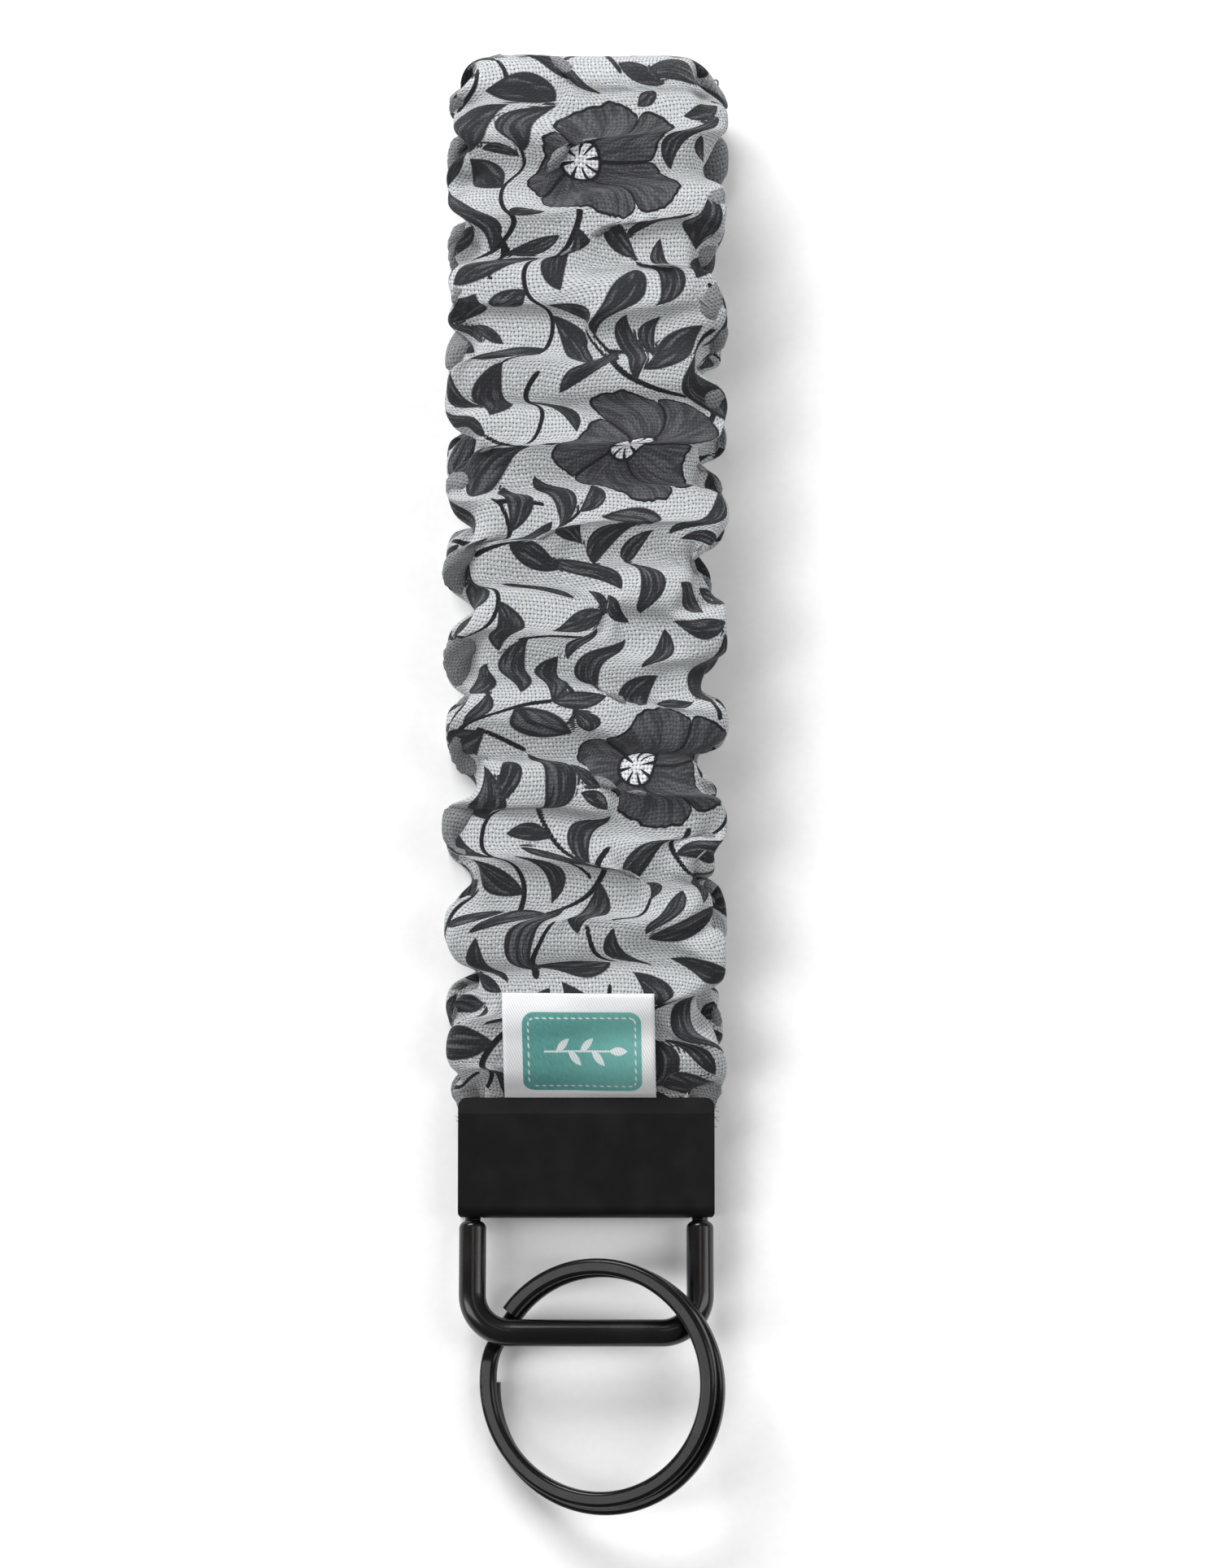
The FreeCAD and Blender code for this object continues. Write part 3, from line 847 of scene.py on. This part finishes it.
def weave(n, u, v):
    """Plain weave: height of the threads, and how open the cloth is between them."""
    wander = n.times(n.minus(n.noise(n.join(u, v), 0.9, 2.0), 0.5), 0.5)
    turns = 2 * math.pi / THREAD_PITCH
    a = n.math("SINE", n.times(n.plus(u, wander), turns / 2))
    b = n.math("SINE", n.times(n.plus(v, wander), turns / 2))
    across = n.math("ABSOLUTE", a)
    along = n.math("ABSOLUTE", b)
    height = n.times(across, along)
    over = n.times(n.times(a, b), 0.5)
    low = n.math("MINIMUM", across, along)
    gap = n.step(low, 0.10, 0.46, 1.0, 0.0)
    both = n.math("MAXIMUM", across, along)
    pore = n.times(gap, n.step(both, 0.40, 0.86, 1.0, 0.0))
    return n.plus(height, over), pore


def leaf_layer(n, colour):
    t = n.attribute("leaf_t")
    q = n.attribute("leaf_q")
    held = n.math("MINIMUM", n.math("MAXIMUM", t, 0.0), 1.0)
    wide = n.math("POWER", n.math("SINE", n.times(held, math.pi)), 0.8)
    spare = n.minus(wide, n.math("ABSOLUTE", q))
    near = n.step(n.attribute("leaf_near"), 0.15, 0.3, 1.0, 0.0)
    inside = n.times(n.step(spare, -0.06, 0.06), near)
    number = n.attribute("leaf_id")
    streak = n.noise(n.join(n.times(q, 3.4), n.times(t, 1.7), n.times(number, 40.0)), 1.0, 2.0, 0.65)
    core = n.step(spare, 0.14, 0.42)
    light = n.times(n.step(streak, 0.47, 0.62), core)
    rib = n.step(n.math("ABSOLUTE", q), 0.05, 0.14)
    light = n.times(light, rib)
    tone = n.mix(light, LEAF_DARK, LEAF_LIGHT)
    return n.mix(inside, colour, tone)


def flower_heart(n, radius, angle, tone):
    """The flower's white centre, cut by dark spokes around a small hub."""
    spokes = n.step(n.math("SINE", n.times(angle, 8.0)), 0.45, 0.8, 1.0, 0.0)
    disc = n.step(radius, 1.85, 2.05, 1.0, 0.0)
    hub = n.step(radius, 0.55, 0.75, 1.0, 0.0)
    mark = n.times(disc, n.math("MAXIMUM", spokes, hub))
    tone = n.mix(n.step(radius, 2.25, 2.45, 1.0, 0.0), tone, VINE_BLACK)
    return n.mix(mark, tone, FLOWER_WHITE)


def flower_layer(n, colour):
    x = n.attribute("flower_u")
    y = n.attribute("flower_v")
    radius = n.math("SQRT", n.plus(n.times(x, x), n.times(y, y)))
    angle = n.plus(n.math("ARCTAN2", y, x), math.pi)
    sector = n.times(angle, PETALS / 2)
    lobe = n.math("ABSOLUTE", n.math("SINE", sector))
    cosine = n.math("COSINE", angle)
    sine = n.math("SINE", angle)
    ragged = n.noise(n.join(n.times(cosine, 2.6), n.times(sine, 2.6)), 1.4, 2.0)
    reach = n.plus(n.times(n.math("POWER", lobe, 0.35), 2.1), n.times(ragged, 2.2))
    spare = n.minus(n.plus(reach, 6.1), radius)
    inside = n.step(spare, -0.06, 0.06)
    rim = n.step(spare, 0.26, 0.42, 1.0, 0.0)
    side = n.times(lobe, radius)
    split = n.step(side, 0.32, 0.6, 1.0, 0.0)
    line = n.math("MAXIMUM", rim, split)
    along_petal = n.join(n.times(cosine, 9.0), n.times(sine, 9.0), n.times(radius, 0.25))
    veins = n.noise(along_petal, 1.0, 2.0, 0.6)
    inner = n.step(radius, 1.6, 5.0, 0.75, 0.0)
    tone = n.mix(n.math("SUBTRACT", n.step(veins, 0.40, 0.60), inner, clamp=True), PETAL_DARK, PETAL_LIGHT)
    tone = n.mix(line, tone, VINE_BLACK)
    return n.mix(inside, colour, flower_heart(n, radius, angle, tone))


def printed_cotton():
    n = Nodes("printed_cotton")
    u, v = n.cloth_place()
    thread, pore = weave(n, u, v)
    slub = n.noise(n.join(n.times(u, 0.35), n.times(v, 4.0)), 1.0, 2.0)
    shade = n.step(slub, 0.35, 0.7, 0.93, 1.05)
    ground = n.mix(1.0, CLOTH_GREY, n.grey(shade), "MULTIPLY")
    colour = n.mix(n.step(n.attribute("vine"), -0.05, 0.05, 1.0, 0.0), ground, VINE_BLACK)
    colour = leaf_layer(n, colour)
    colour = flower_layer(n, colour)
    # Painted shade of the weave: the colour lighter on the threads' crowns and darker where they dip.
    threads = n.step(thread, 0.0, 1.0, 0.86, 1.12)
    colour = n.mix(1.0, colour, n.grey(threads), "MULTIPLY")
    # Painted shade in the pores: the gaps between the threads mixed towards near-black.
    colour = n.mix(n.times(pore, 0.9), colour, (0.02, 0.021, 0.024))
    # Painted shade in the creases and inside the tube: the colour mixed towards near-black.
    dark = n.times(n.attribute("painted_shade"), 0.6)
    colour = n.mix(dark, colour, (0.03, 0.03, 0.034))
    fuzz = n.noise(n.join(u, v), 9.0, 2.0)
    height = n.plus(thread, n.times(fuzz, 0.5))
    wrinkle = n.noise(n.join(n.times(u, 0.5), v), 0.55, 3.0)
    soft = n.bump(wrinkle, 0.35, 0.0008)
    normal = n.bump(height, 0.55, 0.00012, soft)
    return n.set(Base_Color=colour, Roughness=0.92, Sheen_Weight=0.12, Sheen_Roughness=0.5,
                 Specular_IOR_Level=0.18, Normal=normal)


def black_metal(name, tone, rough_low, rough_high, grain, coat, shine):
    """Black finish on steel: faint mottling, fine scratches and grain."""
    n = Nodes(name)
    place = n.coordinate()
    mottle = n.noise(place, 260.0, 3.0)
    stretched = n.add("Mapping", {"Vector": place, "Scale": (1.0, 0.12, 1.0)})
    scratch = n.noise(stretched, 5200.0, 2.0, 0.7)
    fine = n.noise(place, 9000.0, 2.0)
    colour = n.mix(n.step(mottle, 0.35, 0.7), tone, tuple(1.4 * c + 0.001 for c in tone))
    rough = n.step(mottle, 0.3, 0.7, rough_low, rough_high)
    rough = n.plus(rough, n.times(n.step(scratch, 0.62, 0.72), 0.10))
    normal = n.bump(fine, grain, 0.00002)
    return n.set(Base_Color=colour, Roughness=rough, Metallic=0.0, Specular_IOR_Level=shine,
                 Coat_Weight=coat, Coat_Roughness=0.12, Normal=normal)


def woven_elastic():
    n = Nodes("woven_elastic")
    place = n.split(n.coordinate())
    ribs = n.math("SINE", n.times(place[0], 2 * math.pi / ELASTIC_RIB))
    picks = n.math("SINE", n.times(n.plus(place[1], place[2]), 2 * math.pi / ELASTIC_PICK))
    height = n.plus(ribs, n.times(picks, 0.5))
    # Painted shade of the weave: the ribs' and cross threads' crests lighter, their low places darker.
    tone = n.step(height, -1.2, 1.2, 0.55, 0.85)
    return n.set(Base_Color=n.join(tone, tone, n.times(tone, 0.97)), Roughness=0.8,
                 Normal=n.bump(height, 0.6, 0.0002))


def sewing_thread(name):
    n = Nodes(name)
    place = n.split(n.coordinate())
    along = n.plus(n.plus(place[0], place[1]), place[2])
    twist = n.math("SINE", n.times(along, 2 * math.pi / TWIST_PITCH))
    # Painted shade of the twist: its crests lighter, its grooves darker.
    tone = n.step(twist, -1.0, 1.0, 0.14, 0.30)
    return n.set(Base_Color=n.grey(tone), Roughness=0.6, Normal=n.bump(twist, 0.5, 0.0001))


PANEL_X = 0.35                  # the panel's centre on the ribbon
PANEL_Y = 13.9
PANEL_HALF_X = 7.4
PANEL_HALF_Y = 4.7
PANEL_CORNER = 1.5


def rounded_box(n, x, y, half_x, half_y, corner):
    """Distance to a rectangle with rounded corners, less than zero inside."""
    dx = n.minus(n.math("ABSOLUTE", x), half_x - corner)
    dy = n.minus(n.math("ABSOLUTE", y), half_y - corner)
    ox = n.math("MAXIMUM", dx, 0.0)
    oy = n.math("MAXIMUM", dy, 0.0)
    out = n.math("SQRT", n.plus(n.times(ox, ox), n.times(oy, oy)))
    within = n.math("MINIMUM", n.math("MAXIMUM", dx, dy), 0.0)
    return n.minus(n.plus(out, within), corner)


def sprig(n, x, y):
    """A plain stem with five leaves, from 0 to 1."""
    stem = n.times(n.step(n.math("ABSOLUTE", y), 0.05, 0.13, 1.0, 0.0), n.step(
        n.math("ABSOLUTE", x), 4.0, 4.15, 1.0, 0.0))
    shape = stem
    for place, side in ((-2.4, 1), (-0.9, -1), (0.6, 1), (2.0, -1), (4.3, 0)):
        turn = 0.75 * side
        ox = n.minus(x, place + 0.85 * math.cos(turn))
        oy = n.minus(y, 0.95 * math.sin(turn))
        along = n.plus(n.times(ox, math.cos(turn)), n.times(oy, math.sin(turn)))
        across = n.minus(n.times(oy, math.cos(turn)), n.times(ox, math.sin(turn)))
        a = n.math("DIVIDE", along, 1.15)
        wide = n.times(n.minus(1.0, n.times(a, a)), 0.42)
        leaf = n.step(n.minus(wide, n.math("ABSOLUTE", across)), -0.03, 0.05)
        shape = n.math("MAXIMUM", shape, leaf)
    return shape


def panel_print(n, px, py):
    """The panel, from 0 to 1, less its border's dashes and the sprig."""
    edge = rounded_box(n, px, py, PANEL_HALF_X, PANEL_HALF_Y, PANEL_CORNER)
    ink = n.step(edge, -0.06, 0.06, 1.0, 0.0)
    line = n.math("ABSOLUTE", n.plus(edge, 0.75))
    dash = n.step(n.math("SINE", n.times(n.plus(px, py), 7.0)), -0.3, 0.1)
    pale = n.times(n.step(line, 0.06, 0.14, 1.0, 0.0), dash)
    pale = n.math("MAXIMUM", pale, sprig(n, n.plus(px, 0.65), py))
    return n.times(ink, n.minus(1.0, n.times(pale, 0.85)))


def satin():
    """White satin ribbon with a printed panel: a plain sprig inside a stitched border."""
    n = Nodes("satin_ribbon")
    x, y = n.cloth_place()
    slant = n.plus(x, n.times(y, 0.55))
    drift = n.noise(n.join(x, y), 1.2, 2.0)
    ribs = n.math("SINE", n.times(n.plus(slant, n.times(drift, 0.12)), 19.0))
    grain = n.noise(n.join(n.times(slant, 7.0), n.times(y, 1.3)), 1.0, 2.0)
    px = n.minus(x, PANEL_X)
    py = n.minus(y, PANEL_Y)
    teal = n.mix(n.step(px, -7.0, 7.0), (0.055, 0.23, 0.215), (0.11, 0.34, 0.31))
    teal = n.mix(n.step(grain, 0.3, 0.7, 0.0, 0.35), teal, (0.20, 0.44, 0.41))
    # Painted light on the ribs: the ribbon's colour lighter on the rib crests and darker in the troughs.
    white = n.mix(n.step(ribs, -1.0, 1.0), (0.60, 0.61, 0.63), (0.78, 0.79, 0.81))
    colour = n.mix(panel_print(n, px, py), white, teal)
    height = n.plus(n.times(ribs, 0.5), grain)
    return n.set(Base_Color=colour, Roughness=n.step(grain, 0.2, 0.8, 0.42, 0.58), Sheen_Weight=0.1,
                 Specular_IOR_Level=0.5, Anisotropic=0.4, Normal=n.bump(height, 0.35, 0.00006))


# The label: a ribbon folded over at its top, both ends in the clamp

RIBBON = 0.18
LABEL_SPREAD = 0.5              # how far its two layers stand apart near the fold
LABEL_TURN = math.radians(-1.2)
LABEL_WIDTH = LABEL_HIGH[0] - LABEL_LOW[0]
LABEL_ACROSS = 34               # points of the label's mesh
LABEL_ALONG = 48
CLOTH_REACH = 1.3               # how near a point of the fabric must be to hold the label up


def cloth_top(sleeve_points, x, s):
    """How high the fabric stands over the strap's middle line under each point of the label."""
    px, ps, pn = sleeve_points
    top = np.zeros(x.shape)
    for index in np.ndindex(x.shape):
        close = (np.abs(px - x[index]) < CLOTH_REACH) & (np.abs(ps - s[index]) < CLOTH_REACH)
        top[index] = pn[close].max() if close.any() else 0.0
    for _ in range(10):
        top[1:-1] = np.maximum(top[1:-1], (top[:-2] + top[2:]) / 2)
        top[1:-1] = (top[:-2] + 2 * top[1:-1] + top[2:]) / 4
        top[:, 1:-1] = (top[:, :-2] + 2 * top[:, 1:-1] + top[:, 2:]) / 4
    return top


def make_label(fine):
    centre_x = (LABEL_LOW[0] + LABEL_HIGH[0]) / 2
    clamp_s = front_s(LABEL_LOW[1])
    fold_s = front_s(LABEL_HIGH[1] - 0.3)
    mouth_s = front_s(MOUTH_Y)
    across = np.linspace(-LABEL_WIDTH / 2, LABEL_WIDTH / 2, LABEL_ACROSS)
    along = np.linspace(clamp_s, fold_s, LABEL_ALONG)
    x, s = np.meshgrid(across, along)
    near = (fine[:, :, 1] > fold_s - 2) & (fine[:, :, 2] > 0)
    top = cloth_top((fine[near][:, 0] - centre_x, fine[near][:, 1], fine[near][:, 2]), x, s)
    free = ramp(mouth_s - s, 0.0, 5.0)
    clamped = LAYER_CLAMPED / 2 + 0.06
    top = np.where(s > mouth_s - 0.8, clamped, np.maximum(top + 0.1, clamped))
    lower = top + RIBBON / 2
    gap = RIBBON + 0.02 + free * LABEL_SPREAD
    upper = lower + gap
    steps = np.linspace(-math.pi / 2, math.pi / 2, 9)[1:-1]
    nose_s = s[-1] - np.outer(np.cos(steps), np.ones(len(across))) * gap[-1] / 2
    nose_n = (lower[-1] + upper[-1]) / 2 + np.outer(np.sin(steps), np.ones(len(across))) * gap[-1] / 2
    line_s = np.concatenate([s, nose_s, s[::-1]])
    line_n = np.concatenate([lower, nose_n, upper[::-1]])
    line_x = np.tile(across, (len(line_s), 1))
    shift = np.interp(line_s, [fold_s, clamp_s], [1.0, 0.0]) * (clamp_s - fold_s)
    shift = shift * math.tan(LABEL_TURN)
    middle = onto_path(line_x + centre_x + shift, line_s, line_n)
    along_t = np.gradient(middle, axis=0)
    across_t = np.gradient(middle, axis=1)
    normal = np.cross(across_t, along_t)
    normal /= np.linalg.norm(normal, axis=-1, keepdims=True) + 1e-9
    skins = [middle + normal * RIBBON / 2, middle - normal * RIBBON / 2]
    label = two_skins("satin_label", skins[0], skins[1])
    layer = np.where(np.arange(len(line_s)) < len(along) + len(steps) / 2, -1.0, 1.0)
    v = np.interp(line_s, PATH_S, PATH_POINTS[:, 0]) * layer[:, None]
    corner = corner_vertices(label.data)
    write_uv(label.data, np.tile(line_x.reshape(-1), 2)[corner], np.tile(v.reshape(-1), 2)[corner])
    return label


def two_skins(name, first, second):
    """A thin closed sheet between two grids of points."""
    rows, columns = first.shape[:2]
    count = rows * columns
    faces = []
    for r in range(rows - 1):
        for c in range(columns - 1):
            a, b = r * columns + c, r * columns + c + 1
            d, e = a + columns, b + columns
            faces.append((a, d, e, b))
            faces.append((count + a, count + b, count + e, count + d))
    rim = [(0, c) for c in range(columns)]
    rim += [(r, columns - 1) for r in range(1, rows)]
    rim += [(rows - 1, c) for c in range(columns - 2, -1, -1)]
    rim += [(r, 0) for r in range(rows - 2, 0, -1)]
    index = [r * columns + c for r, c in rim]
    for a, b in zip(index, index[1:] + index[:1]):
        faces.append((a, b, count + b, count + a))
    obj = new_object(name, np.concatenate([first.reshape(-1, 3), second.reshape(-1, 3)]), faces)
    face_outwards(obj)
    return obj


def face_outwards(obj):
    mesh = bmesh.new()
    mesh.from_mesh(obj.data)
    bmesh.ops.recalc_face_normals(mesh, faces=mesh.faces)
    mesh.to_mesh(obj.data)
    mesh.free()


# Threads: the seam inside the tube's edge, and loose threads at the cut ends beside the clamp

def add_tube(vertices, faces, line, radii, sides=6):
    """A thin closed tube along the points of a line."""
    base = len(vertices)
    along = np.gradient(line, axis=0)
    along /= np.linalg.norm(along, axis=1)[:, None] + 1e-9
    level = np.cross(along, (0.0, 0.31, 0.95))
    level /= np.linalg.norm(level, axis=1)[:, None] + 1e-9
    upright = np.cross(along, level)
    for point, a, b, radius in zip(line, level, upright, radii):
        for i in range(sides):
            angle = 2 * math.pi * i / sides
            vertices.append(point + radius * (math.cos(angle) * a + math.sin(angle) * b))
    for j in range(len(line) - 1):
        for i in range(sides):
            a = base + j * sides + i
            b = base + j * sides + (i + 1) % sides
            faces.append((a, b, b + sides, a + sides))
    last = base + (len(line) - 1) * sides
    faces.append(tuple(base + i for i in reversed(range(sides))))
    faces.append(tuple(last + i for i in range(sides)))


SEAM_PITCH = 3.0
SEAM_STITCH = 2.4
SEAM_INSET = 1.0                # from the tube's puckered edge
SEAM_RADIUS = 0.14
SEAM_END = 22.0                 # length at each end of the strap without stitches
SEAM_POINTS = 7                 # along each stitch


def make_seam(fine):
    """Stitches that run just inside the puckered right edge, between its two faces."""
    edge = fine[:, 0]
    vertices = []
    faces = []
    for start in np.arange(SEAM_END, PATH_LENGTH - SEAM_END, SEAM_PITCH):
        s = np.linspace(start, start + SEAM_STITCH, SEAM_POINTS)
        x = np.interp(s, edge[:, 1], edge[:, 0]) - SEAM_INSET
        n = np.interp(s, edge[:, 1], edge[:, 2])
        add_tube(vertices, faces, onto_path(x, s, n), np.full(SEAM_POINTS, SEAM_RADIUS))
    obj = new_object("seam_stitches", vertices, faces)
    face_outwards(obj)
    return obj


def make_frayed_threads(count=12):
    random = np.random.RandomState(12)
    vertices = []
    faces = []
    t = np.linspace(0, 1, 8)[:, None]
    for k in range(count):
        side = 1 if k % 4 else -1
        start = np.array([side * 15.2, random.uniform(3.6, 6.4), random.uniform(2.3, 4.2)])
        ahead = np.array([side * random.uniform(1.0, 1.5), random.uniform(-0.7, 0.7),
                          random.uniform(-0.5, 0.5)])
        curl = np.array([0.0, random.uniform(-0.8, 0.8), 0.1])
        line = start + t * ahead + t ** 2 * curl
        add_tube(vertices, faces, line, np.linspace(0.05, 0.02, 8), 5)
    obj = new_object("frayed_threads", vertices, faces)
    face_outwards(obj)
    return obj


def thread_fuzz():
    n = Nodes("frayed_cotton")
    fine = n.noise(n.coordinate(), 3000.0, 2.0)
    tone = n.step(fine, 0.3, 0.7, 0.02, 0.12)
    return n.set(Base_Color=n.grey(tone), Roughness=0.9, Sheen_Weight=0.2,
                 Normal=n.bump(fine, 0.4, 0.00003))


def dress(obj, material):
    obj.data.materials.clear()
    obj.data.materials.append(material)


# Floor, lights and camera

PIXELS_HIGH = 1928
MM_PER_PIXEL = 0.1019
VIEW_ELEVATION = math.radians(86)
CAMERA_DISTANCE = 0.62
AIM = Vector((0.00296, 0.0467, 0.0064))
FLOOR_HALF = 1500.0


def make_floor():
    n = Nodes("pale_table")
    grain = n.noise(n.coordinate(), 900.0, 3.0)
    tone = n.step(grain, 0.3, 0.7, 0.90, 0.92)
    material = n.set(Base_Color=n.grey(tone), Roughness=0.75, Specular_IOR_Level=0.25,
                     Normal=n.bump(grain, 0.1, 0.0001))
    corners = [(x * FLOOR_HALF, y * FLOOR_HALF, 0) for x, y in ((-1, -1), (1, -1), (1, 1), (-1, 1))]
    floor = new_object("table_top", corners, [(0, 1, 2, 3)])
    dress(floor, material)


def area_light(name, place, size, power, tint=(1.0, 1.0, 1.0), target=(0, 0.03, 0.0)):
    data = bpy.data.lights.new(name, "AREA")
    data.shape = "RECTANGLE"
    data.size, data.size_y = size
    data.energy = power
    data.color = tint
    light = bpy.data.objects.new(name, data)
    light.location = place
    light.rotation_euler = (Vector(target) - Vector(place)).to_track_quat("-Z", "Y").to_euler()
    bpy.context.scene.collection.objects.link(light)


def make_lights():
    area_light("key_softbox", (-0.30, 0.75, 0.50), (0.5, 0.35), 9.0)
    area_light("fill_softbox", (0.65, 0.1, 0.60), (0.35, 0.9), 4.0)
    area_light("side_softbox", (-0.75, -0.05, 0.55), (0.3, 0.8), 4.0)
    area_light("lip_strip", (0.03, 0.29, 0.70), (0.24, 0.07), 0.12, (1.0, 0.82, 0.72))
    world = bpy.data.worlds.new("studio")
    world.use_nodes = True
    background = world.node_tree.nodes["Background"]
    background.inputs["Color"].default_value = (1.0, 1.0, 1.0, 1.0)
    background.inputs["Strength"].default_value = 0.22
    bpy.context.scene.world = world


def make_camera():
    data = bpy.data.cameras.new("photo_camera")
    data.sensor_fit = "VERTICAL"
    data.lens = data.sensor_height * CAMERA_DISTANCE / (PIXELS_HIGH * MM_PER_PIXEL * MM)
    camera = bpy.data.objects.new("photo_camera", data)
    back = Vector((0, -math.cos(VIEW_ELEVATION), math.sin(VIEW_ELEVATION)))
    camera.location = AIM + back * CAMERA_DISTANCE
    camera.rotation_euler = (-back).to_track_quat("-Z", "Y").to_euler()
    bpy.context.scene.collection.objects.link(camera)
    bpy.context.scene.camera = camera


make_camera()
make_lights()
make_floor()
bpy.context.scene.view_settings.view_transform = "Standard"

sleeve, sleeve_fine = make_sleeve()
dress(sleeve, printed_cotton())
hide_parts("fabric_sleeve")
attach(sleeve, "strap")

label = make_label(sleeve_fine)
dress(label, satin())
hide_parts("label")
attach(label, "strap")

seam = make_seam(sleeve_fine)
dress(seam, sewing_thread("seam_cotton"))
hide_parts("sleeve_seam_thread")
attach(seam, "strap")

frayed = make_frayed_threads()
dress(frayed, thread_fuzz())
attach(frayed, "strap")

FINISHES = {
    "fob_clamp": black_metal("clamp_black", (0.0035, 0.0035, 0.004), 0.38, 0.41, 0.06, 0.0, 0.20),
    "bail": black_metal("wire_black", (0.003, 0.003, 0.0035), 0.18, 0.26, 0.15, 0.25, 0.25),
    "split_ring": black_metal("ring_black", (0.004, 0.004, 0.0045), 0.20, 0.28, 0.2, 0.12, 0.13),
    "elastic_band": woven_elastic(),
    "end_basting_thread": sewing_thread("basting_cotton"),
}
for node, material in FINISHES.items():
    dress(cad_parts[node], material)
